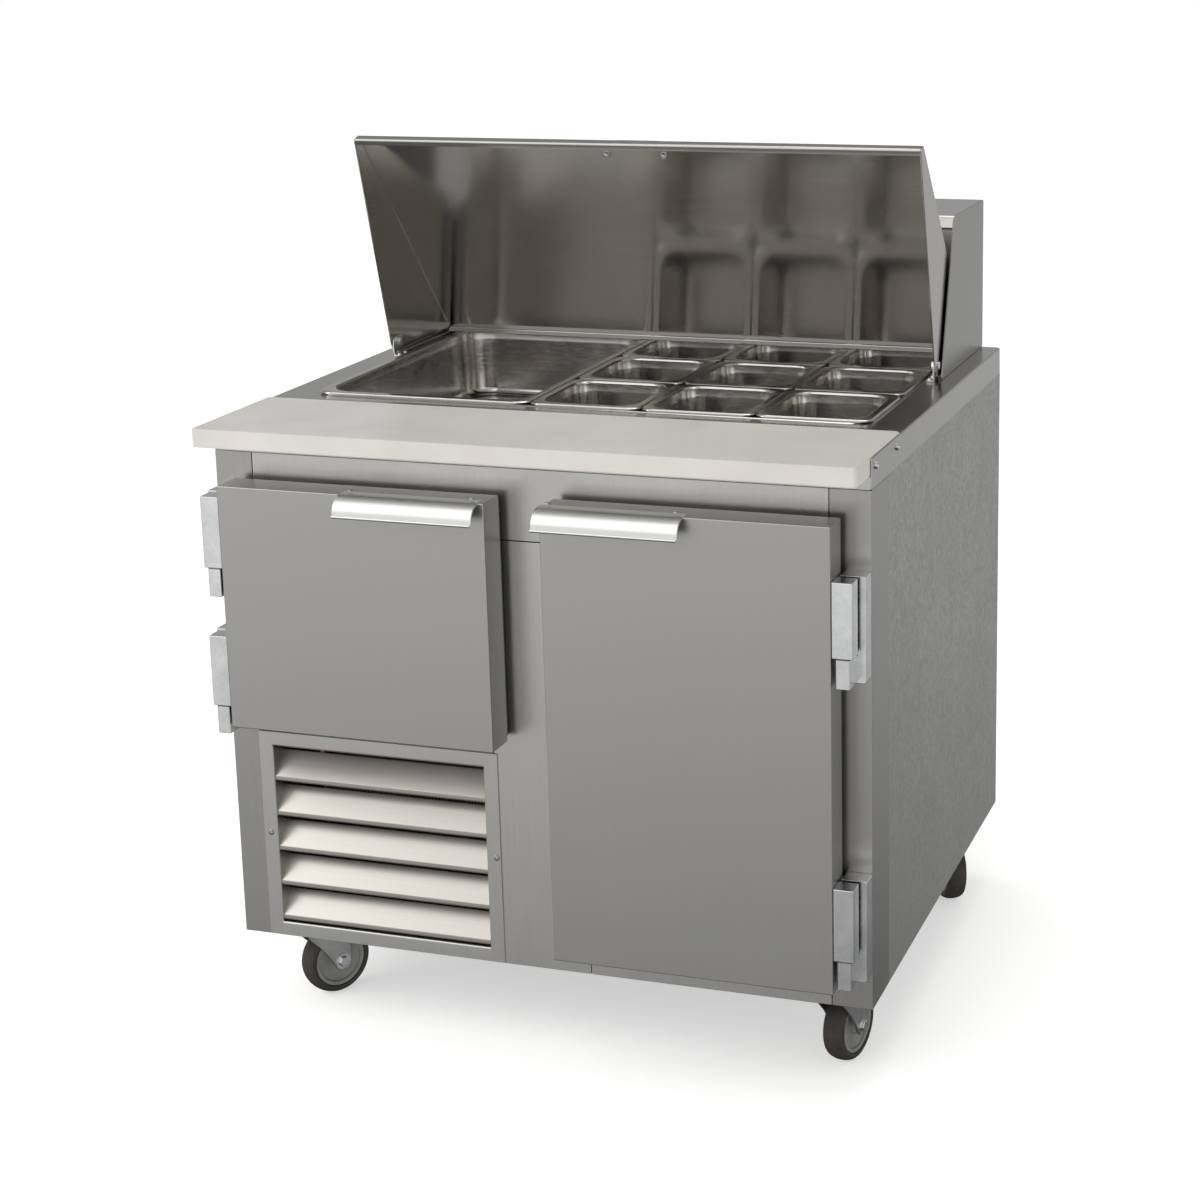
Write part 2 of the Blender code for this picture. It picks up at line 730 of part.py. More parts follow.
def build_hinge(label, outer_side, top, metal):
    """A lift-off hinge: the door's block turns on the pin of the frame's foot."""
    door_edge = half_width - door_outer_inset
    near, far = door_edge + gap, door_edge + hinge_block_width
    pin_x = outer_side * (door_edge + hinge_block_width / 2)
    x_span = tuple(sorted((outer_side * near, outer_side * far)))
    block_front = hinge_axis + hinge_block_depth * hinge_front_share
    block_back = block_front - hinge_block_depth
    block_low = top - hinge_block_height
    centre = (pin_x, y_at(-hinge_axis))
    y_span = (-block_front, -block_back)
    block = box_object(f"{label}_hinge_door_block", x_span, y_span, (block_low, top), metal)
    bevel = block.modifiers.new("edge", "BEVEL")
    bevel.width = hinge_bevel
    bevel.segments = 1

    def bore(tool):
        add_rod(tool, hinge_pin_radius + hinge_bore_clearance, 12, "Z", z_at(block_low) - overshoot,
                z_at(top) - 0.008, centre)
    cut(block, "bore", build=bore)
    foot_top = block_low - hinge_thrust_gap
    foot_low = foot_top - hinge_foot_height
    plate_x = tuple(sorted((outer_side * (near + 0.0005), outer_side * (far + hinge_plate_reach))))
    foot = box_object(f"{label}_hinge_foot", plate_x, (-hinge_plate - gap, -gap), (foot_low, top), metal)
    radius = hinge_block_width / 2 - hinge_foot_ease

    def arm(tool):
        front = [(centre[0] + radius * math.cos(turn), centre[1] + radius * math.sin(turn))
                 for turn in (math.pi + math.pi * i / hinge_foot_steps for i in range(hinge_foot_steps + 1))]
        rear = y_at(-hinge_plate * 0.5)
        outline = front + [(centre[0] + radius, rear), (centre[0] - radius, rear)]
        add_prism(tool, outline, "Z", z_at(foot_low + 0.001), z_at(foot_top))
    join(foot, "arm", build=arm)

    def pin(tool):
        add_rod(tool, hinge_pin_radius, 12, "Z", z_at(foot_top) - 0.005, z_at(top) - 0.012, centre)
    join(foot, "pin", build=pin)


# ---- louvre panel and machine bay ----
def build_louver(aluminium):
    face_back = gap
    left, right = louver_span
    panel = box_object("louver_panel", (left, right), (-face_back - sheet, -face_back),
                       (0.001, louver_top), aluminium)
    in_left, in_right = left + louver_border, right - louver_border
    low, high = louver_border, louver_top - louver_border
    back = louver_return_depth
    skin = sheet
    join(panel, "returns", [span_box((in_left - skin, in_right + skin), (-face_back - sheet * 0.5, back),
                                     (low - skin, high + skin))])
    cut(panel, "opening", [span_box((in_left, in_right), (-overshoot, back + overshoot), (low, high))])

    def blades(tool):
        for number in range(blade_count):
            z = z_at(lowest_blade + number * blade_pitch)
            y = y_at(0.0005)
            metal = blade_metal
            outline = [(y, z), (y + metal, z), (y + metal, z + blade_lip - metal * 0.5),
                       (y + blade_run, z + blade_lip + blade_rise - metal),
                       (y + blade_run, z + blade_lip + blade_rise), (y, z + blade_lip)]
            add_prism(tool, outline, "X", in_left - skin * 0.5, in_right + skin * 0.5)
    join(panel, "blades", build=blades)


def build_machine_bay(steel, black_metal, coil_metal, fan_plastic):
    base_y = (frame_depth + bay_side_gap, cabinet_depth - wall - bay_side_gap)
    base_x = (bay_left, bay_wall_span[1] - 0.0005)
    base = box_object("condensing_unit_base", base_x, base_y, base_sheet, steel)
    motor_front = fan_hub_y + motor_behind_hub
    join(base, "motor_stand", [span_box((bay_centre_x - 0.02, bay_centre_x + 0.02),
                                        (motor_front + 0.012, motor_front + 0.016), (0.002, fan_centre_z))])
    centre = (bay_centre_x, z_at(fan_centre_z))

    def motor(tool):
        add_rod(tool, motor_radius, 16, "Y", y_at(motor_front), y_at(motor_front + motor_length), centre)
    join(base, "motor", build=motor)

    def shaft(tool):
        add_rod(tool, shaft_radius, 10, "Y", y_at(fan_hub_y - 0.010), y_at(motor_front + 0.002), centre)
    join(base, "motor_shaft", build=shaft)

    coil = box_object("condenser_coil", (bay_left + 0.02, bay_wall_span[0] - 0.02), condenser_y,
                      condenser_z, coil_metal)
    fin_gaps = ((condenser_y[0] - overshoot, condenser_y[0] + 0.012),
                (condenser_z[0] + 0.01, condenser_z[1] - 0.01))
    fins = []
    x = bay_left + 0.03
    while x < bay_wall_span[0] - 0.035:
        fins.append(span_box((x, x + fin_pitch * 0.6), *fin_gaps))
        x += fin_pitch
    cut(coil, "fin_gaps", fins)

    mesh = bmesh.new()
    height, radius = compressor_height, compressor_radius
    dome = [(radius * 0.92, 0.0), (radius, 0.012), (radius, height * 0.62), (radius * 0.93, height * 0.80),
            (radius * 0.70, height * 0.94), (radius * 0.35, height)]
    sides = 20
    rings = [[(r * math.cos(2 * math.pi * i / sides), r * math.sin(2 * math.pi * i / sides), z)
              for i in range(sides)] for r, z in dome]
    add_rings(mesh, rings)
    finish_object("compressor", mesh, black_metal,
                  place=(bay_centre_x - 0.03, y_at(compressor_y), z_at(base_sheet[1] + 0.0007)))
    build_fan("condenser_fan", (bay_centre_x, y_at(fan_hub_y), z_at(fan_centre_z)), fan_radius, fan_plastic)


def build_fan(name, place, radius, material):
    """A bored hub with pitched blades, about its own Y axis."""
    hub, bore, depth = 0.020, shaft_radius + 0.0003, 0.020
    mesh = bmesh.new()
    add_turned(mesh, [(bore, -depth / 2), (hub, -depth / 2), (hub, depth / 2), (bore, depth / 2)], 16, "Y")
    fan = finish_object(name, mesh, material, place=place)
    blades = 5

    def blade_set(tool):
        for number in range(blades):
            turn = Matrix.Rotation(2 * math.pi * number / blades, 3, "Y")
            width = radius * 0.42
            corners = []
            for r, half in ((hub * 0.8, 0.010), (radius, width / 2)):
                for side in (-1, 1):
                    for face in (-0.0008, 0.0008):
                        point = Vector((side * half, side * 0.008 + face, r))
                        corners.append(tool.verts.new(turn @ point))
            for face in ((0, 1, 3, 2), (4, 6, 7, 5), (0, 4, 5, 1), (2, 3, 7, 6), (0, 2, 6, 4), (1, 5, 7, 3)):
                tool.faces.new([corners[i] for i in face])
    join(fan, "blades", build=blade_set)


def build_evaporator(coil_metal, fan_plastic):
    coil = box_object("evaporator_coil", evaporator_x, evaporator_y, evaporator_z, coil_metal)
    centre_x = sum(evaporator_x) / 2
    centre_z = sum(evaporator_z) / 2
    centre = (centre_x, z_at(centre_z))
    fan_y = evaporator_y[0] - evaporator_fan_ahead

    def motor(tool):
        add_rod(tool, 0.022, 14, "Y", y_at(evaporator_y[0] - 0.012), y_at(evaporator_y[0] + 0.01), centre)
    join(coil, "motor", build=motor)

    def shaft(tool):
        add_rod(tool, shaft_radius, 10, "Y", y_at(fan_y - 0.008), y_at(evaporator_y[0]), centre)
    join(coil, "motor_shaft", build=shaft)
    build_fan("evaporator_fan", (centre_x, y_at(fan_y), z_at(centre_z)), evaporator_fan_radius, fan_plastic)


def build_shelf(wire_metal):
    """A flat grille shelf in the tall compartment."""
    left, right = bay_wall_span[1] + shelf_side_gap, half_width - wall - shelf_side_gap
    front, rear = frame_depth + shelf_front_gap, cabinet_depth - wall - shelf_rear_gap
    z, border = shelf_height, shelf_border
    shelf = box_object("shelf", (left, right), (front, rear), (z, z + shelf_thickness), wire_metal)
    pitch = (right - left - border) / shelf_bars
    slots = [span_box((left + border + i * pitch, left + (i + 1) * pitch), (front + border, rear - border),
                      (z - overshoot, z + overshoot)) for i in range(shelf_bars)]
    cut(shelf, "slots", slots)


# ---- casters ----
def build_caster(corner, side, end, materials):
    plate_metal, fork_steel, tyre = materials
    x = side * (half_width - caster_side_inset)
    y = y_at(caster_end_inset) if end == "front" else y_at(cabinet_depth - caster_end_inset)
    top = caster_height - gap
    radius = wheel_diameter / 2
    plate_x, plate_y, plate = caster_plate
    swivel = make_empty(f"{corner}_swivel_axis", (x, y, 0.0))
    swivel.rotation_euler = (0.0, 0.0, math.radians(caster_turns[corner]))
    mesh = bmesh.new()
    add_box(mesh, (-plate_x, -plate_y, top - plate), (plate_x, plate_y, top))
    mount = finish_object(f"{corner}_caster_plate", mesh, plate_metal, place=(x, y, 0.0))
    race_low = top - plate - race_height

    def race(tool):
        add_rod(tool, race_radius, 18, "Z", race_low, top - plate / 2)
    join(mount, "race", build=race)
    crown_top = race_low - gap
    crown_low = crown_top - fork_metal
    half_fork = wheel_width / 2 + fork_side_gap
    axle_half = half_fork + fork_metal + axle_end
    mesh = bmesh.new()
    add_box(mesh, (-half_fork - fork_metal, -0.026, crown_low), (half_fork + fork_metal, 0.032, crown_top))
    fork = finish_object(f"{corner}_caster_fork", mesh, fork_steel, parent=swivel)
    leg = [(-0.024, crown_top - 0.001), (0.030, crown_top - 0.001), (caster_trail + 0.014, radius + 0.006),
           (caster_trail + 0.010, radius - 0.011), (caster_trail - 0.010, radius - 0.011),
           (caster_trail - 0.016, radius + 0.004)]

    def legs(tool):
        add_prism(tool, leg, "X", half_fork, half_fork + fork_metal)
        add_prism(tool, leg, "X", -half_fork - fork_metal, -half_fork)
    join(fork, "legs", build=legs)

    def axle(tool):
        add_rod(tool, axle_radius, 12, "X", -axle_half, axle_half, (caster_trail, radius))
    join(fork, "axle", build=axle)
    mesh = bmesh.new()
    half = wheel_width / 2
    hub_half = half + 0.0015
    bore = axle_radius + axle_clearance
    profile = [(bore, -hub_half), (0.013, -hub_half), (0.018, -half + 0.006),
               (radius * 0.70, -half + 0.006), (radius * 0.76, -half), (radius - 0.006, -half),
               (radius, -half + 0.007), (radius, half - 0.007), (radius - 0.006, half), (radius * 0.76, half),
               (radius * 0.70, half - 0.006), (0.018, half - 0.006), (0.013, hub_half),
               (bore, hub_half)]
    add_turned(mesh, profile, 24, "X")
    finish_object(f"{corner}_caster_wheel", mesh, tyre, parent=swivel, place=(0.0, caster_trail, radius))


def build_table():
    clear_scene()
    satin_steel = make_material("satin_stainless_steel", (0.38, 0.38, 0.37), 1.0, 0.34)
    door_steel = make_material("door_stainless_steel", (0.33, 0.33, 0.32), 1.0, 0.38)
    bright_steel = make_material("bright_steel", (0.62, 0.62, 0.60), 1.0, 0.20)
    pan_steel = make_material("polished_pan_steel", (0.60, 0.59, 0.57), 1.0, 0.18)
    side_skin = make_material("galvanised_side_skin", (0.30, 0.30, 0.29), 0.9, 0.45)
    aluminium = make_material("satin_aluminium", (0.70, 0.70, 0.68), 1.0, 0.30)
    board_plastic = make_material("white_polyethylene", (0.80, 0.79, 0.75), 0.0, 0.45)
    liner = make_material("aluminium_liner", (0.55, 0.55, 0.54), 0.9, 0.40)
    rubber = make_material("grey_gasket_rubber", (0.10, 0.10, 0.11), 0.0, 0.60)
    zinc = make_material("zinc_plated_steel", (0.50, 0.50, 0.48), 1.0, 0.35)
    tyre = make_material("dark_tyre_rubber", (0.04, 0.04, 0.045), 0.0, 0.60)
    black_metal = make_material("black_painted_steel", (0.02, 0.02, 0.02), 0.2, 0.40)
    coil_metal = make_material("coil_fins", (0.35, 0.36, 0.36), 0.9, 0.50)
    dark_plastic = make_material("dark_plastic", (0.03, 0.03, 0.03), 0.0, 0.50)

    build_front_frame(satin_steel)
    build_walls(side_skin, liner)
    build_power_inlet(dark_plastic)
    build_worktop(satin_steel)
    build_pan_well(liner)
    build_adapter_bars(satin_steel)
    build_pans(pan_steel)
    build_board(board_plastic)
    build_hood(satin_steel)
    build_lid(satin_steel, bright_steel)
    door_set = (door_steel, rubber, aluminium)
    build_door("left", left_door_span, short_door_bottom, -1, door_set)
    build_door("right", right_door_span, tall_door_bottom, 1, door_set)
    hinge_run = hinge_block_height + hinge_foot_height + hinge_thrust_gap
    build_hinge("left_upper", -1, door_top - left_upper_hinge_drop, bright_steel)
    build_hinge("left_lower", -1, short_door_bottom + hinge_run + left_lower_hinge_rise, bright_steel)
    build_hinge("right_upper", 1, door_top - right_upper_hinge_drop, bright_steel)
    build_hinge("right_lower", 1, tall_door_bottom + hinge_run + right_lower_hinge_rise, bright_steel)
    build_louver(aluminium)
    build_machine_bay(satin_steel, black_metal, coil_metal, dark_plastic)
    build_evaporator(coil_metal, dark_plastic)
    build_shelf(zinc)
    for end in ("front", "rear"):
        for side_name, side in (("left", -1), ("right", 1)):
            build_caster(f"{end}_{side_name}", side, end, (zinc, zinc, tyre))


build_table()
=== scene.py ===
import json
import math

import bmesh
import bpy
import numpy as np
from mathutils import Matrix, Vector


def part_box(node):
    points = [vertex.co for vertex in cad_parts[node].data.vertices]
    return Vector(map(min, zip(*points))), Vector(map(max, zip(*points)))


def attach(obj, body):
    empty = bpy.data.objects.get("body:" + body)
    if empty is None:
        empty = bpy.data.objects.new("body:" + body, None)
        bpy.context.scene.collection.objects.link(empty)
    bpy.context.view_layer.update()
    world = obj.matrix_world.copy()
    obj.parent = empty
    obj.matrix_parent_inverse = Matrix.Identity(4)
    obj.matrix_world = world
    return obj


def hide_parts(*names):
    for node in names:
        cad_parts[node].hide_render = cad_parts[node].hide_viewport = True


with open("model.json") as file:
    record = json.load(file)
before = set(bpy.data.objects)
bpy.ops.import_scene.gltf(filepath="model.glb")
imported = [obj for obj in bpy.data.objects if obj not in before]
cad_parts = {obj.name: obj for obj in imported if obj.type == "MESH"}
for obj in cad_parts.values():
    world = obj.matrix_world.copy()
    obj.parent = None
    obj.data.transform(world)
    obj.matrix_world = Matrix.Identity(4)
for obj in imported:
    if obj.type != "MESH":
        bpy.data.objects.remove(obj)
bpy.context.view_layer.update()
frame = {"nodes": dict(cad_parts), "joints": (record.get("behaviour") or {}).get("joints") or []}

print("frame loaded,", len(frame["nodes"]), "nodes")

cameraSet = {"place": (1.200, -3.146, 1.546), "right": (0.95239, 0.30453, -0.01428), "up": (-0.05616, 0.22128, 0.97359),
             "lens": 72.64, "sensor": 36.0, "shift": (-0.12, -0.12)}


def makeCamera(s):
    data = bpy.data.cameras.new("camera")
    data.lens, data.sensor_width = s["lens"], s["sensor"]
    data.shift_x, data.shift_y = s["shift"]
    data.clip_start, data.clip_end = 0.1, 60.0
    data.dof.use_dof = False
    obj = bpy.data.objects.new("camera", data)
    bpy.context.collection.objects.link(obj)
    right, up = np.array(s["right"]), np.array(s["up"])
    turn = np.eye(4)
    turn[:3, 0], turn[:3, 1], turn[:3, 2], turn[:3, 3] = right, up, np.cross(right, up), s["place"]
    obj.matrix_world = Matrix(turn.tolist())
    bpy.context.scene.camera = obj


makeCamera(cameraSet)


# sRGB hex to linear red, green, blue, alpha.
def hexColour(text):
    c = np.array([int(text[i:i + 2], 16) for i in (1, 3, 5)]) / 255
    lin = np.where(c <= 0.04045, c / 12.92, ((c + 0.055) / 1.055) ** 2.4)
    return (*map(float, lin), 1.0)


# One node: settings go to its attributes, links to its inputs as a value or as another node's output.
def addNode(tree, kind, settings=None, **links):
    node = tree.nodes.new("ShaderNode" + kind)
    for key, value in (settings or {}).items():
        setattr(node, key, value)
    for key, value in links.items():
        socket = node.inputs[int(key[1:])] if key[0] == "i" and key[1:].isdigit() else node.inputs[key.replace("_", " ")]
        if isinstance(value, bpy.types.NodeSocket):
            tree.links.new(value, socket)
        else:
            socket.default_value = value
    return node


def newMaterial(name):
    mat = bpy.data.materials.new(name)
    mat.use_nodes = True
    tree = mat.node_tree
    shader = tree.nodes["Principled BSDF"]
    place = addNode(tree, "TexCoord").outputs["Object"]
    return mat, tree, shader, place


# A rolled and belt-polished sheet: grain is the noise scale along X, Y, Z in lines per metre, coarse enough to
# show, patch the size in metres of the soft cloudy tone that a hand-wiped sheet has, wave the sheet's slight buckle.
def brushedMetal(name, hexDark, hexLight, rough, grain, patch=0.12, wave=0.0, bump=0.02, scratch=None, aniso=0.0):
    mat, tree, shader, place = newMaterial(name)
    lines = addNode(tree, "Mapping", None, Vector=place, Scale=grain).outputs[0]
    fine = addNode(tree, "TexNoise", None, Vector=lines, Scale=1.0, Detail=3.0, Roughness=0.65).outputs[0]
    cloud = addNode(tree, "TexNoise", None, Vector=place, Scale=1 / patch, Detail=4.0, Roughness=0.6).outputs[0]
    mix = addNode(tree, "Math", {"operation": "MULTIPLY_ADD"}, i0=fine, i1=0.55, i2=0.0).outputs[0]
    mix = addNode(tree, "Math", {"operation": "MULTIPLY_ADD"}, i0=cloud, i1=0.45, i2=mix).outputs[0]
    ramp = addNode(tree, "ValToRGB", None, Fac=mix)
    ramp.color_ramp.elements[0].position, ramp.color_ramp.elements[0].color = 0.32, hexColour(hexDark)
    ramp.color_ramp.elements[1].position, ramp.color_ramp.elements[1].color = 0.68, hexColour(hexLight)
    tree.links.new(ramp.outputs[0], shader.inputs["Base Color"])
    rougher = addNode(tree, "MapRange", None, i0=mix, i1=0.3, i2=0.7, i3=rough[0], i4=rough[1]).outputs[0]
    if scratch:
        thin = addNode(tree, "Mapping", None, Vector=place, Scale=scratch["scale"], Rotation=scratch["turn"]).outputs[0]
        lineNoise = addNode(tree, "TexNoise", None, Vector=thin, Scale=1.0, Detail=1.0).outputs[0]
        few = addNode(tree, "MapRange", None, i0=lineNoise, i1=0.68, i2=0.74, i3=0.0, i4=scratch["amount"]).outputs[0]
        rougher = addNode(tree, "Math", {"operation": "ADD"}, i0=rougher, i1=few).outputs[0]
    tree.links.new(rougher, shader.inputs["Roughness"])
    shader.inputs["Metallic"].default_value = 1.0
    shader.inputs["Anisotropic"].default_value = aniso
    height = addNode(tree, "Math", {"operation": "MULTIPLY"}, i0=fine, i1=1.0).outputs[0]
    surface = addNode(tree, "Bump", None, Strength=bump, Distance=0.0004, Height=height).outputs[0]
    if wave:
        big = addNode(tree, "TexNoise", None, Vector=place, Scale=4.0, Detail=1.0).outputs[0]
        surface = addNode(tree, "Bump", None, Strength=wave, Distance=0.002, Height=big, Normal=surface).outputs[0]
    tree.links.new(surface, shader.inputs["Normal"])
    return mat


# A moulded, cast or painted surface: soft tone patches, a fine grit of 1/grit metres and uneven gloss.
def plainSolid(name, hexDark, hexLight, rough, metallic=0.0, grit=400.0, bump=0.08, patch=0.04, coat=0.0, ior=1.5):
    mat, tree, shader, place = newMaterial(name)
    cloud = addNode(tree, "TexNoise", None, Vector=place, Scale=1 / patch, Detail=4.0, Roughness=0.6).outputs[0]
    small = addNode(tree, "TexNoise", None, Vector=place, Scale=grit, Detail=2.0).outputs[0]
    ramp = addNode(tree, "ValToRGB", None, Fac=cloud)
    ramp.color_ramp.elements[0].position, ramp.color_ramp.elements[0].color = 0.35, hexColour(hexDark)
    ramp.color_ramp.elements[1].position, ramp.color_ramp.elements[1].color = 0.65, hexColour(hexLight)
    tree.links.new(ramp.outputs[0], shader.inputs["Base Color"])
    tree.links.new(addNode(tree, "MapRange", None, i0=small, i1=0.3, i2=0.7, i3=rough[0], i4=rough[1]).outputs[0],
                   shader.inputs["Roughness"])
    shader.inputs["Metallic"].default_value = metallic
    shader.inputs["Coat Weight"].default_value = coat
    if not metallic:
        shader.inputs["IOR"].default_value = ior
    tree.links.new(addNode(tree, "Bump", None, Strength=bump, Distance=0.0005, Height=small).outputs[0],
                   shader.inputs["Normal"])
    return mat


# Galvanised and lightly rolled steel: crystal patches 4 to 8 mm across, each a little lighter or duller than the
# next, under a faint vertical rolling grain.
def spangledSkin(name, hexDark, hexLight):
    mat, tree, shader, place = newMaterial(name)
    bent = addNode(tree, "TexNoise", None, Vector=place, Scale=30.0, Detail=2.0).outputs["Color"]
    moved = addNode(tree, "VectorMath", {"operation": "MULTIPLY_ADD"}, i0=bent, i1=(0.02, 0.02, 0.02), i2=place).outputs[0]
    cells = addNode(tree, "TexVoronoi", None, Vector=moved, Scale=170.0).outputs["Color"]
    flake = addNode(tree, "SeparateColor", None, i0=cells).outputs[0]
    rolled = addNode(tree, "Mapping", None, Vector=place, Scale=(400.0, 400.0, 6.0)).outputs[0]
    grain = addNode(tree, "TexNoise", None, Vector=rolled, Scale=1.0, Detail=3.0).outputs[0]
    cloud = addNode(tree, "TexNoise", None, Vector=place, Scale=5.0, Detail=5.0, Roughness=0.65).outputs[0]
    tone = addNode(tree, "Math", {"operation": "MULTIPLY_ADD"}, i0=flake, i1=0.30, i2=0.0).outputs[0]
    tone = addNode(tree, "Math", {"operation": "MULTIPLY_ADD"}, i0=grain, i1=0.30, i2=tone).outputs[0]
    tone = addNode(tree, "Math", {"operation": "MULTIPLY_ADD"}, i0=cloud, i1=0.40, i2=tone).outputs[0]
    ramp = addNode(tree, "ValToRGB", None, Fac=tone)
    ramp.color_ramp.elements[0].position, ramp.color_ramp.elements[0].color = 0.28, hexColour(hexDark)
    ramp.color_ramp.elements[1].position, ramp.color_ramp.elements[1].color = 0.72, hexColour(hexLight)
    tree.links.new(ramp.outputs[0], shader.inputs["Base Color"])
    tree.links.new(addNode(tree, "MapRange", None, i0=tone, i1=0.3, i2=0.7, i3=0.52, i4=0.36).outputs[0],
                   shader.inputs["Roughness"])
    shader.inputs["Metallic"].default_value = 1.0
    tree.links.new(addNode(tree, "Bump", None, Strength=0.05, Distance=0.0005, Height=tone).outputs[0],
                   shader.inputs["Normal"])
    return mat


# Planed polyethylene: a waxy white with planer lines across it and knife scratches in all directions.
def cutPlastic(name, hexDark, hexLight):
    mat, tree, shader, place = newMaterial(name)
    cloud = addNode(tree, "TexNoise", None, Vector=place, Scale=7.0, Detail=5.0, Roughness=0.6).outputs[0]
    ramp = addNode(tree, "ValToRGB", None, Fac=cloud)
    ramp.color_ramp.elements[0].position, ramp.color_ramp.elements[0].color = 0.35, hexColour(hexDark)
    ramp.color_ramp.elements[1].position, ramp.color_ramp.elements[1].color = 0.65, hexColour(hexLight)
    tree.links.new(ramp.outputs[0], shader.inputs["Base Color"])
    height = None
    for turn in (0.5, 1.3, 2.2):
        thin = addNode(tree, "Mapping", None, Vector=place, Scale=(9.0, 900.0, 30.0), Rotation=(0, 0, turn)).outputs[0]
        noise = addNode(tree, "TexNoise", None, Vector=thin, Scale=1.0, Detail=0.0).outputs[0]
        cuts = addNode(tree, "MapRange", None, i0=noise, i1=0.70, i2=0.76, i3=0.0, i4=1.0).outputs[0]
        height = cuts if height is None else addNode(tree, "Math", {"operation": "MAXIMUM"}, i0=cuts, i1=height).outputs[0]
    tree.links.new(addNode(tree, "MapRange", None, i0=height, i1=0.0, i2=1.0, i3=0.38, i4=0.6).outputs[0],
                   shader.inputs["Roughness"])
    planed = addNode(tree, "Mapping", None, Vector=place, Scale=(3.0, 260.0, 260.0)).outputs[0]
    lines = addNode(tree, "TexNoise", None, Vector=planed, Scale=1.0, Detail=2.0).outputs[0]
    first = addNode(tree, "Bump", {"invert": True}, Strength=0.10, Distance=0.0006, Height=height).outputs[0]
    tree.links.new(addNode(tree, "Bump", None, Strength=0.05, Distance=0.0006, Height=lines, Normal=first).outputs[0],
                   shader.inputs["Normal"])
    shader.inputs["Subsurface Weight"].default_value = 0.08
    shader.inputs["Subsurface Radius"].default_value = (0.006, 0.006, 0.005)
    shader.inputs["IOR"].default_value = 1.51
    return mat


finish = {
    # 304 stainless, belt polished: a soft even sheen with faint lines along X
    "worktopSteel": brushedMetal("stainless_satin_worktop", "#b0afac", "#bdbcb9", (0.17, 0.26), (8, 700, 700), bump=0.03),
    # the same sheet, its lines upright on the frame
    "frameSteel": brushedMetal("stainless_satin_frame", "#bdbcb9", "#c7c6c3", (0.27, 0.35), (700, 700, 8), bump=0.02),
    # the corner posts and the hood's ends: the frame's sheet with painted shade, its colour made darker because these
    # faces stand in shade
    "postSteel": brushedMetal("stainless_satin_post", "#a5a4a1", "#afaeab", (0.27, 0.35), (700, 700, 8), bump=0.02),
    # doors: a finer satin, almost without lines
    "doorSteel": brushedMetal("stainless_fine_satin_door", "#b0afad", "#b5b4b2", (0.32, 0.38), (900, 900, 10), patch=0.3,
                              bump=0.012),
    # lid: close to a mirror, with slow buckles that bend what it shows
    "lidSteel": brushedMetal("stainless_bright_lid", "#bab8b4", "#c4c2be", (0.12, 0.18), (9, 500, 500), patch=0.25,
                             wave=0.10, bump=0.012),
    # drawn and tumbled pans: bright, with a blurred grain round the walls
    "panSteel": brushedMetal("stainless_polished_pan", "#bfbdb8", "#cfcdc8", (0.13, 0.24), (60, 60, 300), patch=0.05,
                             bump=0.02),
    # zinc crystals under a rolled skin: a mottled mid grey
    "sideSkin": spangledSkin("galvanised_side_skin", "#b4b4b2", "#c4c4c1"),
    # anodised extrusion: even and bright, with drawing lines along its length
    "aluminium": brushedMetal("anodised_aluminium", "#dededb", "#e8e8e5", (0.28, 0.34), (6, 700, 700), patch=0.3, bump=0.006),
    # rolled blades: whiter than the steel, a little wiped
    "bladeMetal": brushedMetal("rolled_aluminium_blade", "#b0aca6", "#bbb7b1", (0.34, 0.44), (5, 400, 400), patch=0.06,
                               bump=0.02),
    # barrel plated castings: bright, with a soft orange peel
    "brightCast": plainSolid("bright_plated_zinc", "#d2d3d4", "#e2e2e2", (0.18, 0.26), metallic=1.0, grit=260.0, bump=0.008),
    # zinc plated pressings: a dull pale grey
    "zinc": plainSolid("zinc_plated_pressing", "#a2a4a3", "#c0c1bf", (0.30, 0.42), metallic=1.0, grit=350.0, bump=0.04),
    # planed polyethylene: waxy white with knife marks
    "boardPlastic": cutPlastic("planed_white_polyethylene", "#c9c7c0", "#d2d0c9"),
    # embossed aluminium lining: pale and rough
    "liner": brushedMetal("rolled_aluminium_liner", "#b4b5b4", "#c3c4c3", (0.34, 0.46), (300, 300, 12), patch=0.1, bump=0.04),
    # extruded vinyl bellows: dark grey, dull
    "vinyl": plainSolid("grey_gasket_vinyl", "#3a3b3e", "#4a4b4e", (0.45, 0.60), grit=900.0),
    # moulded rubber tread: nearly black, scuffed
    "tread": plainSolid("dark_moulded_rubber", "#2a2524", "#3b3431", (0.50, 0.68), grit=700.0, bump=0.10),
    # moulded nylon hub: mid grey with a fine grain
    "hub": plainSolid("grey_moulded_nylon", "#70716c", "#82837d", (0.40, 0.52), grit=500.0),
    # stoved enamel on the compressor: deep black with a wet coat
    "blackEnamel": plainSolid("black_stoved_enamel", "#101011", "#1a1a1b", (0.25, 0.38), grit=250.0, coat=0.3),
    # thin fins: grey with a combed look
    "finMetal": brushedMetal("thin_aluminium_fin", "#9b9d9d", "#b8bab9", (0.35, 0.5), (400, 400, 40), patch=0.03),
    # drawn tube: warm and bright, a little tarnished
    "copper": brushedMetal("drawn_copper_tube", "#b5704c", "#cf8d69", (0.22, 0.35), (200, 200, 200), patch=0.02),
    # moulded ABS: black and matt
    "darkPlastic": plainSolid("dark_moulded_abs", "#191a1b", "#242526", (0.42, 0.55), grit=500.0),
}
print(len(finish), "finishes made")


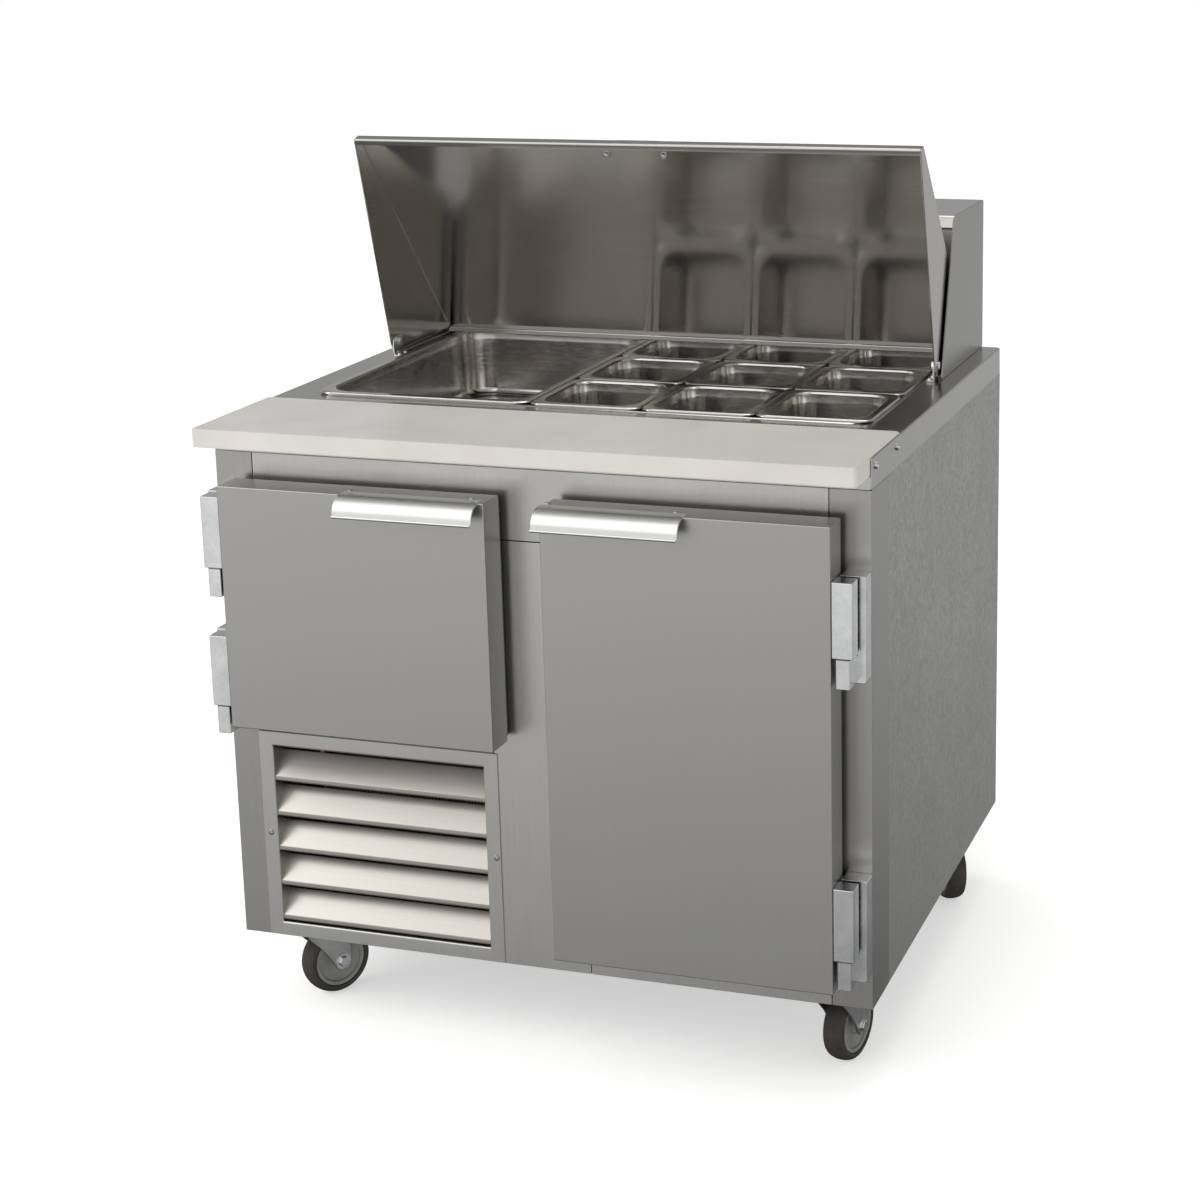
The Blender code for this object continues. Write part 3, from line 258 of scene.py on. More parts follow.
# Quads between neighbouring rows of a grid of points, with flat caps over the first and last rows.
def gridFaces(rows, cols, wrap=True, wrapRows=False, capFirst=True, capLast=True):
    last = rows if wrapRows else rows - 1
    i, j = np.arange(last)[:, None], np.arange(cols if wrap else cols - 1)[None, :]
    a, b = i * cols + j, i * cols + (j + 1) % cols
    c, d = (i + 1) % rows * cols + (j + 1) % cols, (i + 1) % rows * cols + j
    faces = np.stack([a, b, c, d], -1).reshape(-1, 4).tolist()
    if capFirst and not wrapRows:
        faces.append(list(range(cols))[::-1])
    if capLast and not wrapRows:
        faces.append(list(range((rows - 1) * cols, rows * cols)))
    return faces


# Points of a plane, and their distance along the axis across it, as X, Y, Z.
def lay(points, along, axis):
    u, v = points[..., 0], points[..., 1]
    along = np.broadcast_to(along, u.shape)
    order = {"X": (along, u, v), "Y": (u, along, v), "Z": (u, v, along)}[axis]
    return np.stack(order, -1)


# A rectangle with round corners, anticlockwise, as points of a plane.
def rectLoop(centre, half, radius, steps=5):
    radius = max(radius, 1e-5)
    turn = np.linspace(0, math.pi / 2, steps + 1)
    points = []
    for quarter, (sx, sy) in enumerate(((1, 1), (-1, 1), (-1, -1), (1, -1))):
        a = turn + quarter * math.pi / 2
        points.append(np.stack([sx * (half[0] - radius) + radius * np.cos(a),
                                sy * (half[1] - radius) + radius * np.sin(a)], -1))
    return np.concatenate(points) + np.array(centre)


# A skin over closed loops of equal length, each at its own height along the axis.
def ringStack(loops, heights, axis, **caps):
    points = np.stack([lay(loop, height, axis) for loop, height in zip(loops, heights)])
    return points.reshape(-1, 3), gridFaces(len(loops), len(loops[0]), **caps)


# A plate with round corners across the axis and round edges: rings that draw in along a quarter circle.
def slab(lo, hi, axis="Z", corner=0.002, edge=0.0008, steps=4, edgeSteps=2):
    lo, hi = np.minimum(lo, hi), np.maximum(lo, hi)
    flat = {"X": (1, 2), "Y": (0, 2), "Z": (0, 1)}[axis]
    up = {"X": 0, "Y": 1, "Z": 2}[axis]
    centre = [(lo[k] + hi[k]) / 2 for k in flat]
    half = [(hi[k] - lo[k]) / 2 for k in flat]
    corner = min(max(corner, edge * 1.01), *half)
    angle = np.linspace(0, math.pi / 2, edgeSteps + 1)
    insets = np.concatenate([edge * (1 - np.sin(angle)), edge * (1 - np.cos(angle))])
    heights = np.concatenate([lo[up] + edge * (1 - np.cos(angle)), hi[up] - edge * (1 - np.sin(angle))])
    loops = [rectLoop(centre, (half[0] - s, half[1] - s), corner - s, steps) for s in insets]
    return ringStack(loops, heights, axis)


# A closed outline carried along an axis, drawn in by edge at both ends towards its own middle.
def extruded(outline, axis, start, end, edge=0.0):
    outline = np.asarray(outline, float)
    if not edge:
        return ringStack([outline, outline], [start, end], axis)
    inner = shrunk(outline, edge)
    return ringStack([inner, outline, outline, inner], [start, start + edge, end - edge, end], axis)


# A closed outline moved inwards by amount along its corner normals.
def shrunk(outline, amount):
    before, after = np.roll(outline, 1, 0), np.roll(outline, -1, 0)
    a, b = unit(outline - before), unit(after - outline)
    area = np.sum(outline[:, 0] * after[:, 1] - after[:, 0] * outline[:, 1])
    side = 1.0 if area > 0 else -1.0
    na, nb = np.stack([-a[:, 1], a[:, 0]], -1), np.stack([-b[:, 1], b[:, 0]], -1)
    mid = na + nb
    mid = mid / np.maximum(np.sum(mid * na, -1, keepdims=True), 0.25)
    return outline + side * amount * mid


def unit(v):
    return v / np.maximum(np.linalg.norm(v, axis=-1, keepdims=True), 1e-12)


# The closed outline of a sheet of that thickness, to the left of an open line of points.
def ribbon(line, thickness):
    line = np.asarray(line, float)
    d = unit(np.gradient(line, axis=0))
    first, last = unit(line[1] - line[0]), unit(line[-1] - line[-2])
    d[0], d[-1] = first, last
    normal = np.stack([-d[:, 1], d[:, 0]], -1)
    seg = unit(np.diff(line, axis=0))
    cosHalf = np.ones(len(line))
    cosHalf[1:-1] = np.sqrt(np.clip((1 + np.sum(seg[1:] * seg[:-1], -1)) / 2, 0.2, 1))
    return np.concatenate([line, (line + normal * (thickness / cosHalf)[:, None])[::-1]])


# An open line of corners with each inner corner turned into an arc of that radius.
def rounded(corners, radius, steps=4):
    corners = np.asarray(corners, float)
    out = [corners[0]]
    for a, b, c in zip(corners, corners[1:], corners[2:]):
        u, v = unit(a - b), unit(c - b)
        half = math.acos(float(np.clip(np.dot(u, v), -1, 1))) / 2
        reach = min(radius / math.tan(half), 0.49 * np.linalg.norm(a - b), 0.49 * np.linalg.norm(c - b))
        centre = b + unit(u + v) * reach / math.cos(half)
        t = np.linspace(0, 1, steps + 1)[:, None]
        sweep = (b + u * reach - centre) * (1 - t) + (b + v * reach - centre) * t
        out.extend(centre + unit(sweep) * reach * math.tan(half))
    out.append(corners[-1])
    return np.array(out)


# A profile of (radius, along) turned about an axis through centre. A closed profile makes a ring.
def turned(profile, centre, axis, sides=32, closed=True):
    profile = np.asarray(profile, float)
    a = np.linspace(0, 2 * math.pi, sides, endpoint=False)[:, None]
    u, v = profile[:, 0] * np.cos(a), profile[:, 0] * np.sin(a)
    if axis == "Y":
        u, v = v, u
    points = lay(np.stack([u, v], -1), profile[:, 1][None, :], axis) + np.array(centre)
    if closed:
        return points.reshape(-1, 3), gridFaces(sides, len(profile), wrap=True, wrapRows=True)
    points = points.transpose(1, 0, 2)
    return points.reshape(-1, 3), gridFaces(len(profile), sides)


# A round rod along a smooth path: circles across the path, turned as little as possible from one to the next.
def tube(path, radius, sides=10):
    path = np.asarray(path, float)
    d = unit(np.gradient(path, axis=0))
    ref = np.array([0.0, 0.0, 1.0]) if abs(d[0][2]) < 0.9 else np.array([1.0, 0.0, 0.0])
    a = np.linspace(0, 2 * math.pi, sides, endpoint=False)
    rings = []
    for p, t in zip(path, d):
        ref = unit(ref - t * np.dot(ref, t))
        other = np.cross(t, ref)
        rings.append(p + radius * (np.cos(a)[:, None] * ref + np.sin(a)[:, None] * other))
    return np.concatenate(rings), gridFaces(len(rings), sides)


def moved(part, turn=None, shift=(0, 0, 0)):
    points, faces = part
    points = points if turn is None else points @ np.asarray(turn).T
    return points + np.array(shift), faces


# The same part on the other side of X = 0.
def mirrored(part):
    return part[0] * np.array([-1.0, 1.0, 1.0]), part[1]


# One object from parts of (finish name, (points, faces)). It rides on a body and stands for CAD nodes.
def makePiece(name, parts, body, nodes=(), smooth=32, bevel=None):
    names = list(dict.fromkeys(key for key, _ in parts))
    points, faces, index, start = [], [], [], 0
    for key, (p, f) in parts:
        points.append(p)
        faces.extend([[k + start for k in face] for face in f])
        index.extend([names.index(key)] * len(f))
        start += len(p)
    mesh = bpy.data.meshes.new(name)
    mesh.from_pydata(np.concatenate(points).tolist(), [], faces)
    for key in names:
        mesh.materials.append(finish[key])
    mesh.polygons.foreach_set("material_index", index)
    work = bmesh.new()
    work.from_mesh(mesh)
    bmesh.ops.remove_doubles(work, verts=work.verts, dist=1e-7)
    bmesh.ops.recalc_face_normals(work, faces=work.faces)
    work.to_mesh(mesh)
    work.free()
    mesh.shade_smooth()
    mesh.set_sharp_from_angle(angle=math.radians(smooth))
    obj = bpy.data.objects.new(name, mesh)
    bpy.context.collection.objects.link(obj)
    if bevel:
        mod = obj.modifiers.new("edge", "BEVEL")
        mod.width, mod.segments, mod.limit_method, mod.angle_limit = bevel, 2, "ANGLE", math.radians(50)
    flat = obj.modifiers.new("flat faces", "WEIGHTED_NORMAL")
    flat.keep_sharp, flat.weight = True, 100
    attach(obj, body)
    if nodes:
        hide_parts(*nodes)
    return obj


frontY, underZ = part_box("front_frame")[0][1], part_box("front_frame")[0][2]
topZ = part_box("worktop")[1][2]
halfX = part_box("front_frame")[1][0]
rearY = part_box("rear_panel")[1][1]


# A place from X, the distance behind the cabinet's front face and the height above its underside.
def at(x, back, up):
    return np.array([x, frontY + back, underZ + up])


# A slab between pairs of X, distance behind the front face, and height above the underside.
def block(x, back, up, **more):
    return slab(at(x[0], back[0], up[0]), at(x[1], back[1], up[1]), **more)


# A domed screw head with a shallow round recess, standing out along the axis towards side.
def screw(centre, axis, side, radius=0.0045, height=0.0022, sides=20):
    r, h = radius, height * side
    profile = [(0, 0), (r, 0), (r, h * 0.35), (r * 0.86, h * 0.8), (r * 0.5, h), (r * 0.42, h * 0.55), (0, h * 0.5)]
    return turned(profile, centre, axis, sides, closed=False)


# A six-sided head on a round washer.
def hexBolt(centre, axis, side, radius=0.0065, height=0.005):
    h = height * side
    head = turned([(0, 0), (radius, 0), (radius, h * 0.85), (radius * 0.85, h), (0, h)], centre, axis, 6, closed=False)
    washer = turned([(0, 0), (radius * 1.45, 0), (radius * 1.45, h * 0.22), (0, h * 0.22)], centre, axis, 24, closed=False)
    return head, washer


print("mesh tools ready")

frameSet = {"depth": 0.085, "stile": 0.055, "openStile": 0.060, "mullion": 0.065, "head": 0.599, "top": 0.696,
            "bottomRail": 0.075, "sill": 0.352, "seam": 0.0004, "edge": 0.0009, "bayLow": 0.018, "bayHigh": 0.284}


def makeFaceFrame(s):
    w, m, g, deep = halfX, s["mullion"], s["seam"], (0, s["depth"])
    k = dict(axis="Y", corner=s["edge"], edge=s["edge"], steps=2)
    stileIn = w - s["stile"]
    openIn = w - s["openStile"]
    parts = [block((-w, -stileIn - g), deep, (0, s["top"]), **k),
             block((stileIn + g, w), deep, (0, s["top"]), **k),
             block((-stileIn + g, stileIn - g), deep, (s["head"], s["top"]), **k),
             block((-m, m), deep, (0, s["head"] - 2 * g), **k),
             block((m + 2 * g, stileIn - g), deep, (0, s["bottomRail"]), **k),
             block((-stileIn + g, -m - 2 * g), deep, (s["bayHigh"], s["sill"]), **k),
             block((-stileIn + g, -m - 2 * g), deep, (0, s["bayLow"]), **k)]
    posts, parts = parts[:2], parts[2:]
    lips = [block((-stileIn + g, -openIn), (0.001, s["depth"]), (s["sill"], s["head"]), **k),
            block((openIn, stileIn - g), (0.001, s["depth"]), (s["bottomRail"], s["head"]), **k)]
    # the two corner posts take the frame's steel darkened with painted shade
    makePiece("face_frame", [("frameSteel", p) for p in parts + lips] + [("postSteel", p) for p in posts], "cabinet",
              ["front_frame"])


makeFaceFrame(frameSet)

wallSet = {"thick": 0.045, "start": 0.0855, "skin": 0.0012, "gap": 0.0006, "rivetPitch": 0.110}


def makeWalls(s):
    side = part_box("right_side_panel")
    depth = rearY - frontY
    for name, sign in (("left_side_wall", -1), ("right_side_wall", 1)):
        outer, inner = sign * abs(side[1][0]), sign * (abs(side[1][0]) - s["thick"])
        skin = block((outer, outer - sign * s["skin"]), (s["start"], depth), (0, 0.696), axis="X", corner=0.001, edge=0.0005)
        core = block((outer - sign * s["skin"], inner), (s["start"], depth - 0.001), (0.0005, 0.6955), axis="X",
                     corner=0.001, edge=0.0003)
        makePiece(name, [("sideSkin", skin), ("liner", core)], "cabinet", [name.replace("wall", "panel")])
    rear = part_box("rear_panel")
    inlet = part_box("power_inlet")
    hole = (inlet[0][0] - 0.001, inlet[1][0] + 0.001, inlet[0][2] - 0.001, inlet[1][2] + 0.001)
    makePiece("rear_wall", [("sideSkin", p) for p in wallWithHole(rear, hole, 0.030)]
              + [("zinc", screw((x, rear[1][1], z), "Y", 1)) for x in np.linspace(rear[0][0] + 0.02, rear[1][0] - 0.02, 7)
                 for z in (rear[0][2] + 0.02, rear[1][2] - 0.02)], "cabinet", ["rear_panel"])


# Four slabs round a pocket in the rear wall, and one behind it.
def wallWithHole(box, hole, depth):
    (x0, y0, z0), (x1, y1, z1) = box
    a, b, c, d = hole
    k = dict(axis="Y", corner=0.0006, edge=0.0003, steps=2)
    return [slab((x0, y0, z0), (a, y1, z1), **k), slab((b, y0, z0), (x1, y1, z1), **k),
            slab((a, y0, z0), (b, y1, c), **k), slab((a, y0, d), (b, y1, z1), **k),
            slab((a, y0, c), (b, y1 - depth, d), **k)]


makeWalls(wallSet)

worktopSet = {"flange": 0.0397, "bend": 0.0025, "sheet": 0.0015, "holeCorner": 0.034, "holeLip": 0.010, "boardBack": 0.1503,
              "seatUp": 0.7133, "boltBack": (0.021, 0.127), "boltDrop": 0.012, "ridge": 0.0016}


def makeWorktop(s):
    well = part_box("full_pan")[0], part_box("sixth_pan_3_3")[1]
    holeCentre = ((well[0][0] + well[1][0]) / 2, (well[0][1] + well[1][1]) / 2)
    holeHalf = ((well[1][0] - well[0][0]) / 2 - 0.0035, (well[1][1] - well[0][1]) / 2 - 0.0035)
    front, rear = frontY + s["boardBack"], rearY
    centre, half = (0.0, (front + rear) / 2), (halfX, (rear - front) / 2)
    angle = np.linspace(0, math.pi / 2, 5)
    b, low = s["bend"], topZ - s["flange"]
    loops, heights = [rectLoop(centre, half, 0.003)], [low]
    for a in angle:
        inset = b * (1 - math.cos(a))
        loops.append(rectLoop(centre, (half[0] - inset, half[1] - inset), 0.003 + b))
        heights.append(topZ - b * (1 - math.sin(a)))
    for grow, up in ((0.0075, 0.0), (0.006, s["ridge"] * 0.7), (0.0045, s["ridge"]), (0.002, s["ridge"] * 0.8),
                     (0.0004, 0.0), (0.0, -s["holeLip"]), (0.001, -s["holeLip"]), (0.0012, -0.0016)):
        loops.append(rectLoop(holeCentre, (holeHalf[0] + grow, holeHalf[1] + grow), s["holeCorner"] + grow))
        heights.append(topZ + up)
    t = s["sheet"]
    loops.append(rectLoop(centre, (half[0] - t - b, half[1] - t - b), 0.003))
    heights.append(topZ - t)
    loops.append(rectLoop(centre, (half[0] - t, half[1] - t), 0.0015))
    heights.append(topZ - t - b)
    loops.append(rectLoop(centre, (half[0] - t, half[1] - t), 0.0015))
    heights.append(low)
    points = np.stack([lay(loop, height, "Z") for loop, height in zip(loops, heights)])
    top = points.reshape(-1, 3), gridFaces(len(loops), len(loops[0]), wrap=True, wrapRows=True)
    k = dict(corner=0.0006, edge=0.0004, steps=2)
    up = s["seatUp"]
    seat = block((-halfX + t, halfX - t), (0, s["boardBack"]), (up - t, up), axis="Z", **k)
    nose = block((-halfX + t, halfX - t), (0, t), (0.6963, up - t * 0.5), axis="Y", **k)
    sides = [block((sign * halfX, sign * (halfX - t)), (0, s["boardBack"] + 0.002), (0.6963, 0.736), axis="X", corner=0.002,
                   edge=0.0004) for sign in (-1, 1)]
    bolts = []
    for sign in (-1, 1):
        for back in s["boltBack"]:
            bolts.append(screw(at(sign * halfX, back, 0.736 - s["boltDrop"]), "X", sign, radius=0.0052, height=0.003))
    makePiece("worktop_sheet", [("worktopSteel", p) for p in [top, seat, nose] + sides] + [("brightCast", p) for p in bolts],
              "cabinet", ["worktop"], smooth=28)


makeWorktop(worktopSet)

barSet = {"edge": 0.0016, "corner": 0.002}


def makeWellAndBars(s):
    lo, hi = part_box("pan_well")
    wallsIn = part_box("full_pan")[0][0] + 0.005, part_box("sixth_pan_1_3")[1][0] - 0.005
    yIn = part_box("full_pan")[0][1] + 0.003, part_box("full_pan")[1][1] - 0.004
    centre, inCentre = ((lo[0] + hi[0]) / 2, (lo[1] + hi[1]) / 2), (sum(wallsIn) / 2, sum(yIn) / 2)
    half, inHalf = ((hi[0] - lo[0]) / 2, (hi[1] - lo[1]) / 2), ((wallsIn[1] - wallsIn[0]) / 2, (yIn[1] - yIn[0]) / 2)
    loops = [rectLoop(centre, half, 0.004), rectLoop(centre, half, 0.004), rectLoop(inCentre, inHalf, 0.030),
             rectLoop(inCentre, inHalf, 0.030)]
    points = np.stack([lay(loop, z, "Z") for loop, z in zip(loops, (lo[2], hi[2], hi[2], lo[2]))])
    well = points.reshape(-1, 3), gridFaces(4, len(loops[0]), wrapRows=True)
    makePiece("well_liner", [("liner", well)], "cabinet", ["pan_well"])
    lo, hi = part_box("pan_adapter_bars")
    pans = [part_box(f"sixth_pan_{row}_1") for row in (1, 2, 3)]
    x = (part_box("full_pan")[1][0] + pans[0][0][0]) / 2
    k = dict(corner=s["corner"], edge=s["edge"])
    parts = [slab((x - 0.005, lo[1], lo[2]), (x + 0.005, hi[1], hi[2]), axis="Z", **k)]
    for a, b in zip(pans, pans[1:]):
        y = (a[1][1] + b[0][1]) / 2
        parts.append(slab((x, y - 0.005, lo[2] + 0.001), (hi[0], y + 0.005, hi[2] - 0.0005), axis="Z", **k))
    makePiece("adapter_bars", [("worktopSteel", p) for p in parts], "cabinet", ["pan_adapter_bars"])


makeWellAndBars(barSet)

panSet = {"rim": 0.012, "taper": 0.006, "roll": 0.0024, "shoulder": 0.0012, "shoulderDrop": 0.014, "floorRound": 0.012,
          "sheet": 0.0009, "steps": 8}


# A drawn pan: the profile runs up the inside from the floor's round edge over the shoulder and the rim, round the
# rolled edge and back down the outside. Each point of it is an inset from the rim's outline, a height and a corner.
def panPart(box, corner, s):
    lo, hi = box
    centre, half = ((lo[0] + hi[0]) / 2, (lo[1] + hi[1]) / 2), ((hi[0] - lo[0]) / 2, (hi[1] - lo[1]) / 2)
    top, floor, rim, t = hi[2], lo[2], s["rim"], s["sheet"]
    tall = top - floor
    low = rim + s["taper"]
    profile = [(low + s["floorRound"] * 1.6, floor + t + 0.0006)]
    for a in np.linspace(0, math.pi / 2, 5):
        profile.append((low + s["floorRound"] * (1 - math.sin(a)), floor + t + s["floorRound"] * (1 - math.cos(a))))
    ledge = top - s["shoulderDrop"]
    narrow = rim + s["taper"] * (s["shoulderDrop"] / tall)
    profile += [(narrow + s["shoulder"] + 0.0002, ledge - 0.002), (narrow + 0.0002, ledge + 0.0008), (rim + 0.0006, top - 0.003)]
    for a in np.linspace(0, math.pi / 2, 4):
        profile.append((rim - 0.0022 * (1 - math.cos(a)), top - 0.0024 * (1 - math.sin(a))))
    profile.append((s["roll"] + 0.002, top - 0.0002))
    for a in np.linspace(0, math.pi, 7):
        profile.append((s["roll"] * (1 - math.sin(a)), top - s["roll"] * (1 - math.cos(a)) * 0.98))
    profile += [(s["roll"] + 0.001, top - 2 * s["roll"] + 0.0012), (rim - 0.0008, top - 0.0022), (rim - t, top - 0.004),
                (narrow - t, ledge + 0.0008), (narrow + s["shoulder"] - t, ledge - 0.002),
                (low - t, floor + s["floorRound"])]
    for a in np.linspace(math.pi / 2, 0, 4):
        profile.append((low - t + (s["floorRound"]) * (1 - math.sin(a)), floor + s["floorRound"] * (1 - math.cos(a))))
    loops, heights = [], []
    for inset, z in profile:
        loops.append(rectLoop(centre, (half[0] - inset, half[1] - inset), cornerFor(corner, inset, rim), s["steps"]))
        heights.append(z)
    return ringStack(loops, heights, "Z")


# The body's corners are rounder than the rim's.
def cornerFor(corner, inset, rim):
    share = min(max(inset / rim, 0.0), 1.0)
    return corner * (0.55 + 0.45 * share) - max(inset - rim, 0.0) * 0.5


def makePans(s):
    makePiece("bulk_pan", [("panSteel", panPart(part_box("full_pan"), 0.044, s))], "cabinet", ["full_pan"], smooth=40)
    for row in (1, 2, 3):
        for column in (1, 2, 3):
            node = f"sixth_pan_{row}_{column}"
            makePiece(f"filling_pan_{row}_{column}", [("panSteel", panPart(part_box(node), 0.030, s))],
                      "cabinet" if row == 3 else node, [node], smooth=40)


makePans(panSet)
print("worktop and pans made")

boardSet = {"corner": 0.006, "edge": 0.0020}


def makeBoard(s):
    lo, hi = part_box("cutting_board")
    part = slab(lo, hi, axis="Z", corner=s["corner"], edge=s["edge"], steps=8, edgeSteps=4)
    makePiece("white_board", [("boardPlastic", part)], "cabinet", ["cutting_board"], smooth=50)


makeBoard(boardSet)

hoodSet = {"lean": 0.074, "lip": 0.020, "sheet": 0.0016, "bend": 0.0035}


def makeHood(s):
    lo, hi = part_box("rear_hood")
    t, brow = s["sheet"], lo[1] + s["lean"]
    line = rounded([(hi[1], lo[2]), (hi[1], hi[2]), (brow, hi[2]), (brow, hi[2] - s["lip"]), (brow + 0.010, hi[2] - s["lip"])],
                   s["bend"])
    cover = extruded(ribbon(line, t), "X", lo[0] + t, hi[0] - t)
    outline = rounded([(hi[1] - 0.05, lo[2]), (lo[1], lo[2]), (brow, hi[2]), (hi[1], hi[2]), (hi[1], lo[2]), (hi[1] - 0.05, lo[2])],
                      0.004)[:-1]
    sides = [extruded(outline, "X", *x, edge=0.0004) for x in ((lo[0], lo[0] + t), (hi[0] - t, hi[0]))]
    hem = [tube([(x, lo[1] + 0.002, lo[2] + 0.003), (x, brow + 0.001, hi[2] - 0.004)], 0.0013, 8)
           for x in (lo[0] + 0.0015, hi[0] - 0.0015)]
    # the hood's ends and their hems take the frame's steel darkened with painted shade
    makePiece("hood_cover", [("frameSteel", cover)] + [("postSteel", p) for p in sides + hem], "cabinet", ["rear_hood"])


makeHood(hoodSet)

lidSet = {"openDegrees": 75.0, "front": -0.3337, "drop": -0.0045, "lip": 0.016, "rear": 0.062, "rise": 0.184,
          "sheet": 0.0015, "bend": 0.003, "bead": 0.0011}
hinge = next(j for j in frame["joints"] if j["name"] == "lid_hinge")
pivot = np.array(hinge["pos_m"])
lidTurn = -math.radians(lidSet["openDegrees"])
lidMatrix = np.array([[1, 0, 0], [0, math.cos(lidTurn), -math.sin(lidTurn)], [0, math.sin(lidTurn), math.cos(lidTurn)]])
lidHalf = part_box("lid")[1][0]


# From the closed lid's own frame, about its pins, to its place with the lid up.
def raiseLid(part):
    return moved(part, lidMatrix, pivot)


def makeLid(s):
    t = s["sheet"]
    frontTop, rearTop = np.array([s["front"], s["drop"]]), np.array([s["rear"], s["rise"]])
    along = unit(rearTop - frontTop)
    inward = np.array([along[1], -along[0]])
    hemFold = rearTop + inward * 0.010
    line = rounded([frontTop + (0.009, -s["lip"]), frontTop + (0, -s["lip"]), frontTop, rearTop, hemFold], s["bend"])
    cover = extruded(ribbon(line[::-1], t), "X", -lidHalf + t, lidHalf - t)
    outline = [(s["front"], s["drop"] - s["lip"]), (s["front"], s["drop"]), (s["rear"], s["rise"]), (0.014, -0.006),
               (0.002, -0.0175)]
    outline = closedRounded(outline, 0.003)
    parts = [("lidSteel", cover)]
    for x in ((-lidHalf, -lidHalf + t), (lidHalf - t, lidHalf)):
        parts.append(("lidSteel", extruded(outline, "X", *x, edge=0.0004)))
    for sign in (-1, 1):
        inner = sign * (lidHalf - t)
        a, b = frontTop + inward * t + along * 0.006, rearTop + inward * t - along * 0.004
        parts.append(("panSteel", tube([(inner, *a), (inner, *b)], s["bead"], 8)))
        hemLine = rounded([(s["front"] + 0.004, s["drop"] - s["lip"] + 0.0004), (-0.002, -0.0171), (0.0145, -0.0052),
                           (s["rear"] - 0.002, s["rise"] - 0.006)], 0.003)
        parts.append(("panSteel", tube([(sign * (lidHalf - 0.0009), y, z) for y, z in hemLine], 0.0012, 8)))
    for x in (-0.043, 0.043):
        place = frontTop + along * 0.0285 + inward * t
        parts.append(("brightCast", lidScrew(x, place, inward)))
    makePiece("prep_lid", [(key, raiseLid(part)) for key, part in parts], "lid", ["lid"], smooth=30)


# A closed outline with every corner turned into an arc.
def closedRounded(corners, radius):
    corners = np.asarray(corners, float)
    start = (corners[0] + corners[-1]) / 2
    return rounded([start, *corners, start], radius, 3)[:-1]


# A dome nut inside the lid, under a handle foot.
def lidScrew(x, place, direction):
    points, faces = screw((0, 0, 0), "Z", 1, radius=0.0055, height=0.004)
    side = np.array([1.0, 0.0, 0.0])
    out = np.array([0.0, direction[0], direction[1]])
    turn = np.stack([side, np.cross(out, side), out], -1)
    return points @ turn.T + np.array([x, place[0], place[1]]), faces


makeLid(lidSet)

lidHandleSet = {"half": 0.052, "start": 0.0205, "width": 0.016, "height": 0.020, "foot": 0.018, "strap": 0.003, "bend": 0.006}


# A strap bent from flat bar, with rounded long edges: the ribbon's outline carried across its width.
def makeLidHandle(s):
    front, run, rise = lidSet["front"], lidSet["rear"] - lidSet["front"], lidSet["rise"] - lidSet["drop"]
    along = unit(np.array([run, rise]))
    normal = np.array([-along[1], along[0]])
    h, f, top = s["half"], s["foot"], s["height"] - s["strap"]
    line = rounded([(-h, 0), (-h + f, 0), (-h + f - 0.002, top), (h - f + 0.002, top), (h - f, 0), (h, 0)], s["bend"], 6)
    outline = ribbon(line, s["strap"])
    points, faces = extruded(outline, "Y", s["start"], s["start"] + s["width"], edge=0.0010)
    base = np.array([front, lidSet["drop"]])

    # x along the lid, y up the slope, z off the sheet.
    def onLid(points):
        flat = base + points[:, 1:2] * along + (points[:, 2:3] + 0.0004) * normal
        return np.concatenate([points[:, :1], flat], 1)
    parts = [("brightCast", raiseLid((onLid(points), faces)))]
    for x in (-h + f * 0.45, h - f * 0.45):
        p, fc = screw((x, s["start"] + s["width"] / 2, s["strap"]), "Z", 1, radius=0.004)
        parts.append(("zinc", raiseLid((onLid(p), fc))))
    makePiece("lid_strap_handle", parts, "lid", ["lid_handle"])


makeLidHandle(lidHandleSet)


def makeLidBrackets():
    for side in ("left", "right"):
        sign = -1 if side == "left" else 1
        lo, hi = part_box(side + "_lid_bracket")
        outer = lidHalf - 0.0015 - 0.0006
        y0, y1 = lo[1], hi[1]
        k = dict(corner=0.004, edge=0.0006)
        ear = slab((sign * outer, y0, lo[2]), (sign * (outer - 0.0025), y1, hi[2]), axis="X", corner=0.010, edge=0.0006, steps=6)
        foot = slab((sign * outer, y0, lo[2]), (sign * (outer - 0.0135), y1, lo[2] + 0.0025), axis="Z", **k)
        pin = turned([(0, outer - 0.001), (0.004, outer - 0.001), (0.004, lidHalf + 0.0004), (0.0058, lidHalf + 0.0005),
                      (0.0058, lidHalf + 0.0018), (0.0046, lidHalf + 0.0025), (0, lidHalf + 0.0025)],
                     (0, pivot[1], pivot[2]), "X", 20, closed=False)
        nut = turned([(0, outer - 0.0028), (0.0062, outer - 0.0028), (0.0062, outer - 0.0065), (0.005, outer - 0.0075),
                      (0, outer - 0.0075)], (0, pivot[1], pivot[2]), "X", 6, closed=False)
        parts = [("brightCast", ear), ("brightCast", foot)]
        parts += [("brightCast", p if sign > 0 else mirrored(p)) for p in (pin, nut)]
        for y in (y0 + 0.006, y1 - 0.006):
            parts.append(("brightCast", screw((sign * (outer - 0.008), y, lo[2] + 0.0025), "Z", 1, radius=0.003, height=0.0018)))
        makePiece(side + "_pivot_bracket", parts, "cabinet", [side + "_lid_bracket"])


makeLidBrackets()
print("board, hood and lid made")

doorSet = {"edge": 0.0013, "corner": 0.0014, "liner": 0.011, "linerInset": 0.026}


